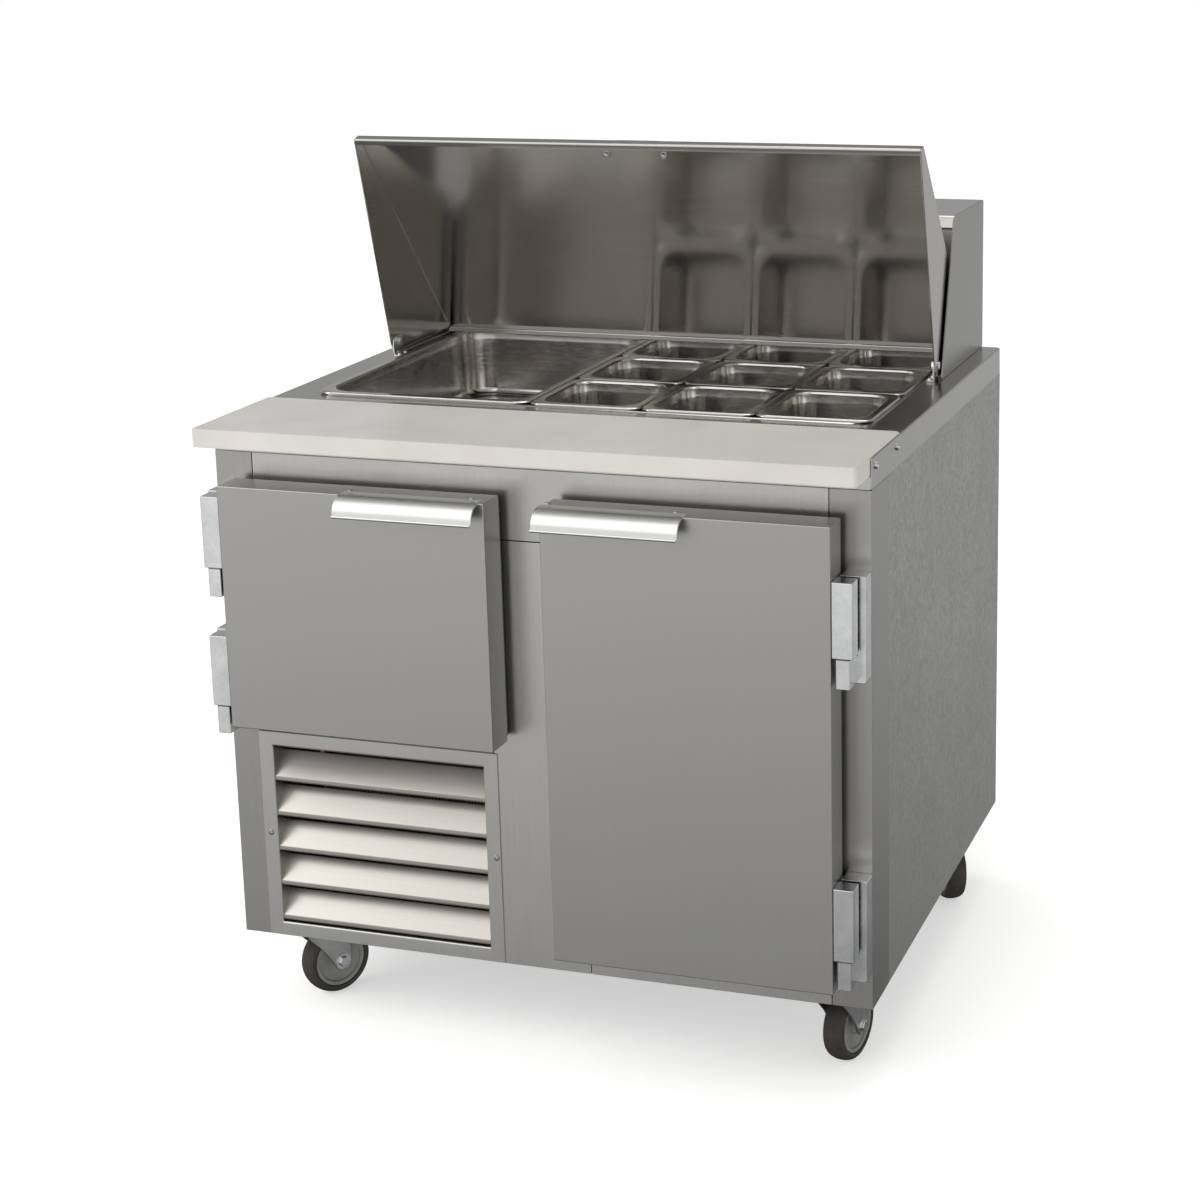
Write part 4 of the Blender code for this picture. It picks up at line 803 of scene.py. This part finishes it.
def makeDoor(side, s):
    lo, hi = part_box(side + "_door")
    gLo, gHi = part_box(side + "_door_gasket")
    shell = slab(lo, hi, axis="Y", corner=s["corner"], edge=s["edge"], steps=4, edgeSteps=4)
    inset = s["linerInset"]
    tray = slab((gLo[0] + inset, hi[1] - 0.001, gLo[2] + inset), (gHi[0] - inset, hi[1] + s["liner"], gHi[2] - inset),
                axis="Y", corner=0.012, edge=0.006, steps=5, edgeSteps=3)
    parts = [("doorSteel", shell), ("liner", tray)]
    makePiece(side + "_door_leaf", parts, side + "_door", [side + "_door"])
    makeGasket(side, gLo, gHi)


# A bellows seal: its section goes round the door as rings of one closed rectangle each.
def makeGasket(side, lo, hi):
    deep = hi[1] - lo[1]
    section = [(0.000, 0.0), (0.000, 0.25), (0.0015, 0.32), (0.0015, 0.40), (0.0, 0.47), (0.0, 0.82), (0.0022, 1.0),
               (0.0138, 1.0), (0.016, 0.82), (0.016, 0.47), (0.0145, 0.40), (0.0145, 0.32), (0.016, 0.25), (0.016, 0.0)]
    centre, half = ((lo[0] + hi[0]) / 2, (lo[2] + hi[2]) / 2), ((hi[0] - lo[0]) / 2, (hi[2] - lo[2]) / 2)
    loops = [rectLoop(centre, (half[0] - a, half[1] - a), 0.002) for a, _ in section]
    points = np.stack([lay(loop, lo[1] + deep * b, "Y") for loop, (_, b) in zip(loops, section)])
    part = points.reshape(-1, 3), gridFaces(len(section), len(loops[0]), wrapRows=True)
    makePiece(side + "_seal", [("vinyl", part)], side + "_door", [side + "_door_gasket"])


for doorSide in ("left", "right"):
    makeDoor(doorSide, doorSet)

pullSet = {"metal": 0.0028, "mount": 0.016, "lip": 0.004, "steps": 14}


# An extruded pull: a flat over the door's top edge, a quarter of an ellipse forward and down, and a small bead.
def makePull(side, s):
    lo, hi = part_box(side + "_door_handle")
    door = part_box(side + "_door")
    face, top, t = door[0][1], hi[2], s["metal"]
    reach, drop = face - lo[1] - 0.0004, hi[2] - lo[2]
    a = np.linspace(0, math.pi / 2, s["steps"])
    arc = np.stack([face - (reach - t) * np.sin(a) , top - t - (drop - t - 0.0015) * (1 - np.cos(a))], -1)
    line = np.concatenate([[(face + s["mount"], top - t)], [(face + 0.004, top - t)], arc])
    outline = ribbon(line[::-1], -t)
    body = extruded(outline, "X", lo[0], hi[0], edge=0.0006)
    beadLine = arc[-1] + np.array([-t / 2, 0.0002])
    bead = tube([(lo[0] + 0.0008, *beadLine), (hi[0] - 0.0008, *beadLine)], 0.0020, 12)
    screws = [screw((x, face + 0.0095, top), "Z", 1, radius=0.0036, height=0.002) for x in (lo[0] + 0.012, hi[0] - 0.012)]
    parts = [("aluminium", body), ("aluminium", bead)] + [("zinc", p) for p in screws]
    makePiece(side + "_pull", parts, side + "_door", [side + "_door_handle"], smooth=40)


for doorSide in ("left", "right"):
    makePull(doorSide, pullSet)

hingeSet = {"round": 0.0020, "edge": 0.0009, "base": 0.0275, "ease": 0.004, "noseOut": 0.0105, "noseRound": 0.003}


# A door block with crisp edges, and a cast foot: a base on the frame that runs up behind the block, an arm under the
# block that clears the door's edge as it turns, and the pin. The corner between arm and base is filled with a round.
def makeHinge(label, s):
    sign = -1 if label.startswith("left") else 1
    door = "left_door" if sign < 0 else "right_door"
    lo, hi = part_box(label + "_hinge_door_block")
    footLo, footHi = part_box(label + "_hinge_foot")
    pinX, pinY, half = (lo[0] + hi[0]) / 2, frontY - 0.050, (hi[0] - lo[0]) / 2
    block = slab(lo, hi, axis="Z", corner=s["round"], edge=s["edge"], steps=4, edgeSteps=3)
    makePiece(label + "_block", [("brightCast", block)], door, [label + "_hinge_door_block"])
    blockLow = lo[2] - 0.001
    r, back, low = half - s["ease"], frontY - s["base"], footLo[2]
    base = slab((footLo[0], back, low), (footHi[0], frontY - 0.0003, footHi[2]), axis="Y", corner=0.0025, edge=0.0010)
    nose = rounded([(pinX - r, back + 0.003), (pinX - r, pinY - s["noseOut"]), (pinX + r, pinY - s["noseOut"]),
                    (pinX + r, back + 0.003)], s["noseRound"], 5)
    arm = extruded(nose, "Z", low + 0.001, blockLow, edge=0.0008)
    corner = np.array([(back + 0.001, blockLow - 0.002), (back - 0.007, blockLow - 0.002), (back - 0.0045, blockLow + 0.0012),
                       (back - 0.0015, blockLow + 0.0045), (back + 0.001, blockLow + 0.0075)])
    fillet = extruded(corner, "X", pinX - half + 0.001, pinX + half - 0.001)
    pin = turned([(0, blockLow - 0.004), (0.004, blockLow - 0.004), (0.004, hi[2] - 0.014), (0, hi[2] - 0.012)],
                 (pinX, pinY, 0), "Z", 16, closed=False)
    collar = turned([(0.0042, blockLow - 0.0003), (0.0085, blockLow - 0.0003), (0.0085, blockLow + 0.0007),
                     (0.0042, blockLow + 0.0007)], (pinX, pinY, 0), "Z", 20)
    parts = [("brightCast", p) for p in (base, arm, fillet)] + [("zinc", p) for p in (pin, collar)]
    makePiece(label + "_foot", parts, "cabinet", [label + "_hinge_foot"])


for label in ("left_upper", "left_lower", "right_upper", "right_lower"):
    makeHinge(label, hingeSet)
print("doors and hinges made")

louvreSet = {"border": 0.021, "bend": 0.0025, "sheet": 0.0015, "back": 0.036, "blades": 5, "pitch": 0.0515, "lowest": 0.0235,
             "lip": 0.007, "run": 0.024, "rise": 0.031, "bladeSheet": 0.0015}


def makeLouvre(s):
    lo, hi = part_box("louver_panel")
    centre, half = ((lo[0] + hi[0]) / 2, (lo[2] + hi[2]) / 2), ((hi[0] - lo[0]) / 2, (hi[2] - lo[2]) / 2)
    low = underZ + s["border"]
    inCentre = (centre[0], (low + hi[2] - s["border"]) / 2)
    inHalf = (half[0] - s["border"], (hi[2] - s["border"] - low) / 2)
    t, b = s["sheet"], s["bend"]
    front = lo[1]
    back = front + s["back"]
    rings = [(rectLoop(centre, half, 0.0012, 3), front + t), (rectLoop(centre, half, 0.0012, 3), front + 0.0004),
             (rectLoop(centre, (half[0] - 0.0004, half[1] - 0.0004), 0.001, 3), front)]
    for a in np.linspace(0, math.pi / 2, 5):
        grow = b * (1 - math.sin(a))
        rings.append((rectLoop(inCentre, (inHalf[0] + grow, inHalf[1] + grow), 0.001 + grow, 3), front + b * (1 - math.cos(a))))
    rings.append((rectLoop(inCentre, inHalf, 0.001, 3), back))
    outerIn = (inHalf[0] + t, inHalf[1] + t)
    rings += [(rectLoop(inCentre, outerIn, 0.0015, 3), back), (rectLoop(inCentre, outerIn, 0.0015, 3), front + b + t),
              (rectLoop(inCentre, (outerIn[0] + b, outerIn[1] + b), 0.0015, 3), front + t)]
    points = np.stack([lay(loop, y, "Y") for loop, y in rings])
    panel = points.reshape(-1, 3), gridFaces(len(rings), len(rings[0][0]), wrapRows=True)
    parts = [("frameSteel", panel)]
    x0, x1 = inCentre[0] - inHalf[0] - 0.0004, inCentre[0] + inHalf[0] + 0.0004
    for number in range(s["blades"]):
        z, y = underZ + s["lowest"] + number * s["pitch"], frontY + 0.0008
        line = rounded([(y + 0.005, z), (y, z), (y, z + s["lip"]), (y + s["run"], z + s["lip"] + s["rise"])], 0.0022, 4)
        parts.append(("bladeMetal", extruded(ribbon(line[::-1], s["bladeSheet"]), "X", x0, x1)))
    for x in (lo[0] + s["border"] * 0.5, hi[0] - s["border"] * 0.3):
        parts.append(("zinc", screw((x, front, centre[1] + 0.002), "Y", -1, radius=0.0042)))
    makePiece("louvre_front", parts, "cabinet", ["louver_panel"])


makeLouvre(louvreSet)
print("louvre made")


casterSet = {"trail": 0.030, "radius": 0.051, "width": 0.031, "metal": 0.003, "treadIn": 0.0395, "crownTop": 0.1126}
casterCorners = ("front_left", "front_right", "rear_left", "rear_right")


def makeCaster(corner, s):
    swivel = next(j for j in frame["joints"] if j["name"] == corner + "_caster_swivel")
    spin = next(j for j in frame["joints"] if j["name"] == corner + "_wheel_spin")
    axle = np.array(spin["axis"])
    turn = np.stack([axle, np.cross((0, 0, 1), axle), (0, 0, 1)], -1)
    place = np.array([*swivel["pos_m"][:2], 0.0])

    def put(part):
        return moved(part, turn, place)
    r, w, trail = s["radius"], s["width"] / 2, s["trail"]
    hubCentre = (0, trail, r)
    tread = [(s["treadIn"], -w + 0.002), (s["treadIn"] + 0.001, -w + 0.0006)]
    for a in np.linspace(-math.pi / 2, math.pi / 2, 11):
        tread.append((r - 0.006 + 0.006 * math.cos(a), math.sin(a) * w * 0.97))
    tread[2:2] = [(r - 0.007, -w)]
    tread += [(r - 0.007, w), (s["treadIn"] + 0.001, w - 0.0006), (s["treadIn"], w - 0.002)]
    hub = [(0.0063, -w - 0.0012), (0.012, -w - 0.0012), (0.0130, -w + 0.0005), (0.0138, -w + 0.0048), (0.0155, -w + 0.0060),
           (0.0315, -w + 0.0048), (0.0330, -w + 0.0040), (0.0335, -w + 0.0028), (0.0342, -w + 0.0020), (0.0388, -w + 0.0014),
           (0.0394, -w + 0.0022)]
    hub = hub + [(a, -b) for a, b in hub[::-1]]
    wheelParts = [("tread", put(turned(tread, hubCentre, "X", 48))), ("hub", put(turned(hub, hubCentre, "X", 48)))]
    makePiece(corner + "_wheel", wheelParts, corner + "_wheel", [corner + "_caster_wheel"], smooth=38)

    inner, metal, top = w + 0.003, s["metal"], s["crownTop"]
    leg = closedRounded([(-0.026, top - 0.001), (0.031, top - 0.001), (trail + 0.0145, r + 0.016), (trail + 0.0140, r - 0.004),
                         (trail + 0.009, r - 0.0125), (trail - 0.009, r - 0.0125), (trail - 0.0150, r + 0.001),
                         (-0.002, r + 0.026), (-0.022, r + 0.047)], 0.007)
    legs = [extruded(leg, "X", a, b, edge=0.0007) for a, b in ((inner, inner + metal), (-inner - metal, -inner))]
    crown = slab((-inner - metal, -0.026, top - metal), (inner + metal, 0.031, top), axis="Z", corner=0.007, edge=0.0012, steps=5)
    cup = turned([(0, top), (0.024, top), (0.025, top - 0.001), (0.025, top - 0.006), (0.0235, top - 0.0075), (0, top - 0.0075)],
                 (0, 0, 0), "Z", 36, closed=False)
    nose = inner + metal
    axleRod = turned([(0, -nose - 0.0008), (0.0058, -nose - 0.0008), (0.0058, nose + 0.0035), (0.005, nose + 0.0045), (0, nose + 0.0045)],
                     hubCentre, "X", 18, closed=False)
    boltHead = hexBolt((-nose, trail, r), "X", -1, radius=0.0080, height=0.0055)
    nut = hexBolt((nose, trail, r), "X", 1, radius=0.0080, height=0.0050)
    forkParts = [("zinc", put(p)) for p in legs + [crown, cup]]
    forkParts += [("brightCast", put(p)) for p in [axleRod, *boltHead, *nut]]
    makePiece(corner + "_fork", forkParts, corner + "_swivel", [corner + "_caster_fork"])

    lo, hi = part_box(corner + "_caster_plate")
    x, y = place[0], place[1]
    plate = slab((lo[0], lo[1], hi[2] - 0.004), hi, axis="Z", corner=0.008, edge=0.0008, steps=5)
    race = turned([(0, lo[2]), (0.0225, lo[2]), (0.0262, lo[2] + 0.0012), (0.027, lo[2] + 0.004), (0.0255, hi[2] - 0.003), (0, hi[2] - 0.003)],
                  (x, y, 0), "Z", 36, closed=False)
    bolts = []
    for sx in (-1, 1):
        for sy in (-1, 1):
            bolts += hexBolt((x + sx * 0.034, y + sy * 0.026, hi[2] - 0.004), "Z", -1, radius=0.0058, height=0.0045)
    makePiece(corner + "_plate", [("zinc", p) for p in [plate, race] + bolts], "cabinet", [corner + "_caster_plate"])


for corner in casterCorners:
    makeCaster(corner, casterSet)
print("casters made")

linerSet = {"round": 0.003, "edge": 0.001, "ceiling": 0.035, "wall": 0.035}


# The cold floor is a slab with round edges. The step over and beside the machine bay is an L carried along Y.
def makeLiners(s):
    floor = slab(*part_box("floor_panel"), axis="Z", corner=s["round"], edge=s["edge"])
    makePiece("cold_floor", [("liner", floor)], "cabinet", ["floor_panel"])
    lo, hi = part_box("machine_bay_liner")
    low, wall = hi[2] - s["ceiling"], hi[0] - s["wall"]
    outline = closedRounded([(lo[0], low), (wall, low), (wall, lo[2]), (hi[0], lo[2]), (hi[0], hi[2]), (lo[0], hi[2])],
                            s["round"])
    makePiece("bay_step", [("liner", extruded(outline, "Y", lo[1], hi[1], edge=s["edge"]))], "cabinet",
              ["machine_bay_liner"])


makeLiners(linerSet)


# The same part at each of several shifts.
def repeated(part, shifts):
    points, faces = part
    shifts = np.asarray(shifts, float)
    many = [[k + i * len(points) for k in face] for i in range(len(shifts)) for face in faces]
    return (points[None] + shifts[:, None]).reshape(-1, 3), many


shelfSet = {"border": 0.0028, "rod": 0.0022, "wire": 0.0014, "wires": 22, "corner": 0.012}


# A wire shelf: a rod round the edge, three rods across, and thin wires from front to rear at equal steps.
def makeShelf(s):
    lo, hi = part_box("shelf")
    b, z = s["border"], lo[2] + s["border"]
    loop = rectLoop(((lo[0] + hi[0]) / 2, (lo[1] + hi[1]) / 2), ((hi[0] - lo[0]) / 2 - b, (hi[1] - lo[1]) / 2 - b), s["corner"])
    ring = lay(np.concatenate([loop, loop[:1]]), z, "Z")
    cross = tube([(lo[0] + b, 0, z), (hi[0] - b, 0, z)], s["rod"], 8)
    wire = tube([(0, lo[1] + b, z + 0.0026), (0, hi[1] - b, z + 0.0026)], s["wire"], 6)
    x = np.linspace(lo[0] + 0.014, hi[0] - 0.014, s["wires"])
    parts = [tube(ring, b, 10), repeated(cross, [(0, y, 0) for y in np.linspace(lo[1] + 0.05, hi[1] - 0.05, 3)]),
             repeated(wire, [(v, 0, 0) for v in x])]
    makePiece("wire_shelf", [("zinc", part) for part in parts], "cabinet", ["shelf"])


makeShelf(shelfSet)

fanSet = {"hub": 0.020, "bore": 0.0045, "half": 0.010, "sheet": 0.0007, "pitch": 0.008, "camber": 0.002, "blades": 5}


# Blades that twist about the hub: each row lies at one radius, and its points turn by their share of the width.
def makeFan(node, radius, s):
    centre = next(j for j in frame["joints"] if j["name"] == node + "_spin")["pos_m"]
    root = s["hub"] * 0.9
    r = np.linspace(root, radius, 9)[:, None]
    across = np.linspace(-1, 1, 9)
    c = np.concatenate([across, across[::-1]])[None, :]
    face = np.repeat((1.0, -1.0), 9)[None, :] * s["sheet"] * np.sqrt(1 - 0.9 * c * c)
    wide = 0.010 + (0.20 * radius - 0.010) * (r - root) / (radius - root)
    turn = c * wide / r
    y = c * s["pitch"] + s["camber"] * (1 - c * c) + face + 0 * r
    blade = np.stack([r * np.sin(turn), y, r * np.cos(turn)], -1).reshape(-1, 3), gridFaces(9, 18)
    h, b, d = s["hub"], s["bore"], s["half"]
    hub = turned([(b, -d), (h - 0.003, -d), (h, -d + 0.002), (h, d - 0.002), (h - 0.003, d), (b, d)], centre, "Y", 28)
    parts = [("darkPlastic", hub)]
    for number in range(s["blades"]):
        a = 2 * math.pi * number / s["blades"]
        spin = [[math.cos(a), 0, math.sin(a)], [0, 1, 0], [-math.sin(a), 0, math.cos(a)]]
        parts.append(("darkPlastic", moved(blade, spin, centre)))
    makePiece(node + "_blades", parts, node, [node], smooth=40)


makeFan("condenser_fan", 0.1045, fanSet)
makeFan("evaporator_fan", 0.0775, fanSet)

coilSet = {"plate": 0.0012, "fin": 0.0004, "bendRoom": 0.012, "tube": 0.0045, "rowPitch": 0.024}


# A finned coil between two end plates: fins at equal steps, tube rows through them, and half-round bends that join
# the rows beyond each plate. The fins stand coarser than real ones so that they show.
def coilParts(lo, hi, finPitch, s):
    x0, x1 = lo[0] + s["bendRoom"], hi[0] - s["bendRoom"]
    fin = slab((0, lo[1] + 0.001, lo[2] + 0.001), (s["fin"], hi[1] - 0.001, hi[2] - 0.001), axis="X", corner=0.001,
               edge=0.0001, steps=1, edgeSteps=1)
    count = int((x1 - x0) / finPitch)
    parts = [("finMetal", repeated(fin, [(x, 0, 0) for x in np.linspace(x0 + 0.003, x1 - 0.003, count)]))]
    for x in (x0, x1 - s["plate"]):
        parts.append(("zinc", slab((x, lo[1], lo[2]), (x + s["plate"], hi[1], hi[2]), axis="X", corner=0.002, edge=0.0004)))
    rows = np.arange(lo[2] + 0.015, hi[2] - 0.012, s["rowPitch"])
    columns = (lo[1] + (hi[1] - lo[1]) * 0.28, lo[1] + (hi[1] - lo[1]) * 0.72)
    row = tube([(x0 - 0.002, 0, 0), (x1 + 0.002, 0, 0)], s["tube"], 8)
    parts.append(("copper", repeated(row, [(0, y, z) for y in columns for z in rows])))
    half = s["rowPitch"] / 2
    turn = np.linspace(0, math.pi, 8)
    out = min(s["bendRoom"] - s["tube"] - 0.0005, half)
    for x, sign, first in ((x0 - 0.002, -1, 0), (x1 + 0.002, 1, 1)):
        bend = tube(np.stack([x + sign * out * np.sin(turn), 0 * turn, half * (1 - np.cos(turn))], -1), s["tube"], 8)
        starts = rows[first:-1:2]
        parts.append(("copper", repeated(bend, [(0, y, z) for y in columns for z in starts])))
    return parts


machineSet = {"standWide": 0.020, "shaft": 0.004, "condenserMotor": 0.031, "motorStart": 0.030, "motorLong": 0.055}


# A motor can about Y: a drum with drawn ends and a thin shaft ahead of it.
def motorParts(centre, start, end, shaftStart, radius, s):
    x, z, r, t = centre[0], centre[2], radius, s["shaft"]
    can = turned([(0, start), (r * 0.55, start), (r * 0.80, start + 0.0015), (r * 0.97, start + 0.004), (r, start + 0.008),
                  (r, end - 0.006), (r * 0.95, end - 0.002), (r * 0.7, end), (0, end)], (x, 0, z), "Y", 36, closed=False)
    shaft = turned([(0, shaftStart), (t * 0.8, shaftStart), (t, shaftStart + 0.001), (t, start + 0.002), (0, start + 0.002)],
                   (x, 0, z), "Y", 14, closed=False)
    return [("blackEnamel", can), ("zinc", shaft)]


def makeCondensingUnit(s):
    lo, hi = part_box("condensing_unit_base")
    hub = next(j for j in frame["joints"] if j["name"] == "condenser_fan_spin")["pos_m"]
    tray = slab(lo, (hi[0], hi[1], lo[2] + 0.003), axis="Z", corner=0.004, edge=0.0006)
    start = hub[1] + s["motorStart"]
    stand = slab((hub[0] - s["standWide"], start + 0.012, lo[2] + 0.002), (hub[0] + s["standWide"], start + 0.016, hub[2]),
                 axis="Y", corner=0.003, edge=0.0006)
    parts = [("zinc", tray), ("zinc", stand)]
    parts += motorParts(hub, start, start + s["motorLong"], hub[1] - 0.0098, s["condenserMotor"], s)
    makePiece("condensing_tray", parts, "cabinet", ["condensing_unit_base"])
    makePiece("condenser_finned_coil", coilParts(*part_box("condenser_coil"), 0.005, coilSet), "cabinet", ["condenser_coil"])


makeCondensingUnit(machineSet)


# A welded shell: a pot and a lid joined at a seam, on a plate with four feet, with a terminal cover and tube stubs.
def makeCompressor():
    lo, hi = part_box("compressor")
    x, y, z = (lo[0] + hi[0]) / 2, (lo[1] + hi[1]) / 2, lo[2]
    shell = turned([(0, z + 0.010), (0.062, z + 0.010), (0.078, z + 0.016), (0.0835, z + 0.030), (0.0835, z + 0.100),
                    (0.0850, z + 0.102), (0.0850, z + 0.108), (0.0835, z + 0.110), (0.0830, z + 0.135), (0.078, z + 0.162),
                    (0.064, z + 0.184), (0.038, z + 0.196), (0, z + 0.199)], (x, y, 0), "Z", 56, closed=False)
    plate = slab((x - 0.060, y - 0.060, z + 0.004), (x + 0.060, y + 0.060, z + 0.011), axis="Z", corner=0.012, edge=0.001)
    feet = [turned([(0, z), (0.010, z), (0.011, z + 0.002), (0.008, z + 0.006), (0, z + 0.006)], (x + a, y + b, 0), "Z", 20,
                   closed=False) for a in (-0.048, 0.048) for b in (-0.048, 0.048)]
    cover = slab((x - 0.030, y - 0.0845, z + 0.060), (x + 0.030, y - 0.070, z + 0.125), axis="Y", corner=0.006, edge=0.003)
    turn = np.linspace(0, math.pi / 2, 6)
    stubs = [tube(np.concatenate([[(x + a, y + 0.02, z + 0.170)],
                                  np.stack([x + a + 0.018 * (1 - np.cos(turn)) * np.sign(a), 0 * turn + y + 0.02,
                                            z + 0.180 + 0.018 * np.sin(turn)], -1)]), 0.0045, 10) for a in (-0.045, 0.045)]
    parts = [("blackEnamel", shell), ("blackEnamel", plate), ("darkPlastic", cover)]
    parts += [("tread", foot) for foot in feet] + [("copper", stub) for stub in stubs]
    makePiece("compressor_pot", parts, "cabinet", ["compressor"], smooth=40)


makeCompressor()


# The coil's case is open in front and behind: fins between plates above and below, with the fan's motor ahead.
def makeEvaporator():
    lo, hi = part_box("evaporator_coil")
    hub = next(j for j in frame["joints"] if j["name"] == "evaporator_fan_spin")["pos_m"]
    front = hi[1] - 0.060
    caseLo, caseHi = np.array([lo[0], front, lo[2]]), np.array(hi)
    parts = coilParts(caseLo + (0, 0.002, 0.003), caseHi - (0, 0.002, 0.003), 0.006, coilSet)
    k = dict(axis="Z", corner=0.003, edge=0.0005)
    parts += [("liner", slab(caseLo, (hi[0], hi[1], lo[2] + 0.0018), **k)),
              ("liner", slab((lo[0], front, hi[2] - 0.0018), caseHi, **k)),
              ("liner", slab((hub[0] - 0.012, front, lo[2]), (hub[0] + 0.012, front + 0.0018, hi[2]), axis="Y", corner=0.001,
                             edge=0.0004))]
    parts += motorParts(hub, front - 0.012, front + 0.008, hub[1] - 0.0078, 0.0215, machineSet)
    makePiece("evaporator_case", parts, "cabinet", ["evaporator_coil"])


makeEvaporator()


# A moulded inlet: a rim round a socket with three flat blades inside.
def makeInlet():
    lo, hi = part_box("power_inlet")
    hole = (lo[0] + 0.010, hi[0] - 0.010, lo[2] + 0.010, hi[2] - 0.010)
    parts = [("darkPlastic", p) for p in wallWithHole((lo, hi), hole, 0.016)]
    x, z = (lo[0] + hi[0]) / 2, (lo[2] + hi[2]) / 2
    for a, b in ((-0.007, -0.003), (0.007, -0.003), (0.0, 0.005)):
        parts.append(("brightCast", slab((x + a - 0.001, hi[1] - 0.017, z + b - 0.002), (x + a + 0.001, hi[1] - 0.004, z + b + 0.002),
                                         axis="Y", corner=0.0004, edge=0.0002)))
    makePiece("inlet_socket", parts, "cabinet", ["power_inlet"])


makeInlet()
print("inside pieces made")

stageSet = {"floorHalf": 12.0, "floorColour": "#f4f4f2", "floorGlow": 0.50, "backdrop": 1.0, "rearShare": 0.54,
            "levels": ((-1.0, 0.10), (-0.50, 0.14), (-0.43, 0.28), (-0.37, 0.60), (-0.30, 0.90), (-0.18, 1.0),
                       (0.10, 0.85), (0.50, 0.60), (1.0, 0.55))}


# A pale floor that glows a little, like a lit table, and a studio whose walls are brightest at eye height. The floor
# stays out of the reflections, which show the studio's walls and its darker ground instead.
def makeStage(s):
    mesh = bpy.data.meshes.new("floor")
    h = s["floorHalf"]
    mesh.from_pydata([(-h, -h, 0), (h, -h, 0), (h, h, 0), (-h, h, 0)], [], [(0, 1, 2, 3)])
    mat, tree, shader, place = newMaterial("pale_studio_floor")
    shader.inputs["Base Color"].default_value = hexColour(s["floorColour"])
    shader.inputs["Roughness"].default_value = 0.9
    shader.inputs["Emission Color"].default_value = (1.0, 1.0, 1.0, 1.0)
    shader.inputs["Emission Strength"].default_value = s["floorGlow"]
    mesh.materials.append(mat)
    floor = bpy.data.objects.new("floor", mesh)
    floor.visible_glossy = False
    bpy.context.collection.objects.link(floor)
    world = bpy.data.worlds.new("studio")
    world.use_nodes = True
    bpy.context.scene.world = world
    tree = world.node_tree
    back = tree.nodes["Background"]
    direction = addNode(tree, "TexCoord").outputs["Generated"]
    axes = addNode(tree, "SeparateXYZ", None, Vector=direction).outputs
    height = addNode(tree, "MapRange", None, i0=axes[2], i1=-1.0, i2=1.0).outputs[0]
    ramp = addNode(tree, "ValToRGB", None, Fac=height)
    stops = ramp.color_ramp.elements
    while len(stops) < len(s["levels"]):
        stops.new(0.5)
    for stop, (up, level) in zip(stops, s["levels"]):
        stop.position, stop.color = (up + 1) / 2, (level, level, level, 1.0)
    share = addNode(tree, "MapRange", None, i0=axes[1], i1=-0.7, i2=0.7, i3=1.0, i4=s["rearShare"]).outputs[0]
    walls = addNode(tree, "Math", {"operation": "MULTIPLY"}, i0=ramp.outputs[0], i1=share).outputs[0]
    seen = addNode(tree, "LightPath").outputs["Is Camera Ray"]
    level = addNode(tree, "Mix", None, Factor=seen, A=walls, B=s["backdrop"]).outputs[0]
    tree.links.new(level, back.inputs["Strength"])
    back.inputs["Color"].default_value = (1.0, 1.0, 1.0, 1.0)


def aimed(place, aim):
    back = unit(np.array(place, float) - np.array(aim, float))
    side = unit(np.cross((0, 0, 1), back)) if abs(back[2]) < 0.99 else np.array([1.0, 0, 0])
    turn = np.eye(4)
    turn[:3, 0], turn[:3, 1], turn[:3, 2], turn[:3, 3] = side, np.cross(back, side), back, place
    return Matrix(turn.tolist())


def addLamp(name, kind, place, aim, power, **settings):
    data = bpy.data.lights.new(name, kind)
    data.energy = power
    for key, value in settings.items():
        setattr(data, key, value)
    obj = bpy.data.objects.new(name, data)
    bpy.context.collection.objects.link(obj)
    obj.matrix_world = aimed(place, aim)


makeStage(stageSet)
addLamp("skylight", "SUN", (-1.5, -2.5, 4.0), (0, 0, 0.6), 0.7, angle=math.radians(60))
addLamp("leftSoftbox", "AREA", (-3.0, -2.4, 2.4), (0, 0, 0.6), 30, shape="RECTANGLE", size=1.4, size_y=2.2)
addLamp("overheadSoftbox", "AREA", (0.3, 0.6, 3.4), (0, 0, 0.8), 25, shape="RECTANGLE", size=2.4, size_y=1.2)
bpy.context.scene.view_settings.view_transform = "Standard"
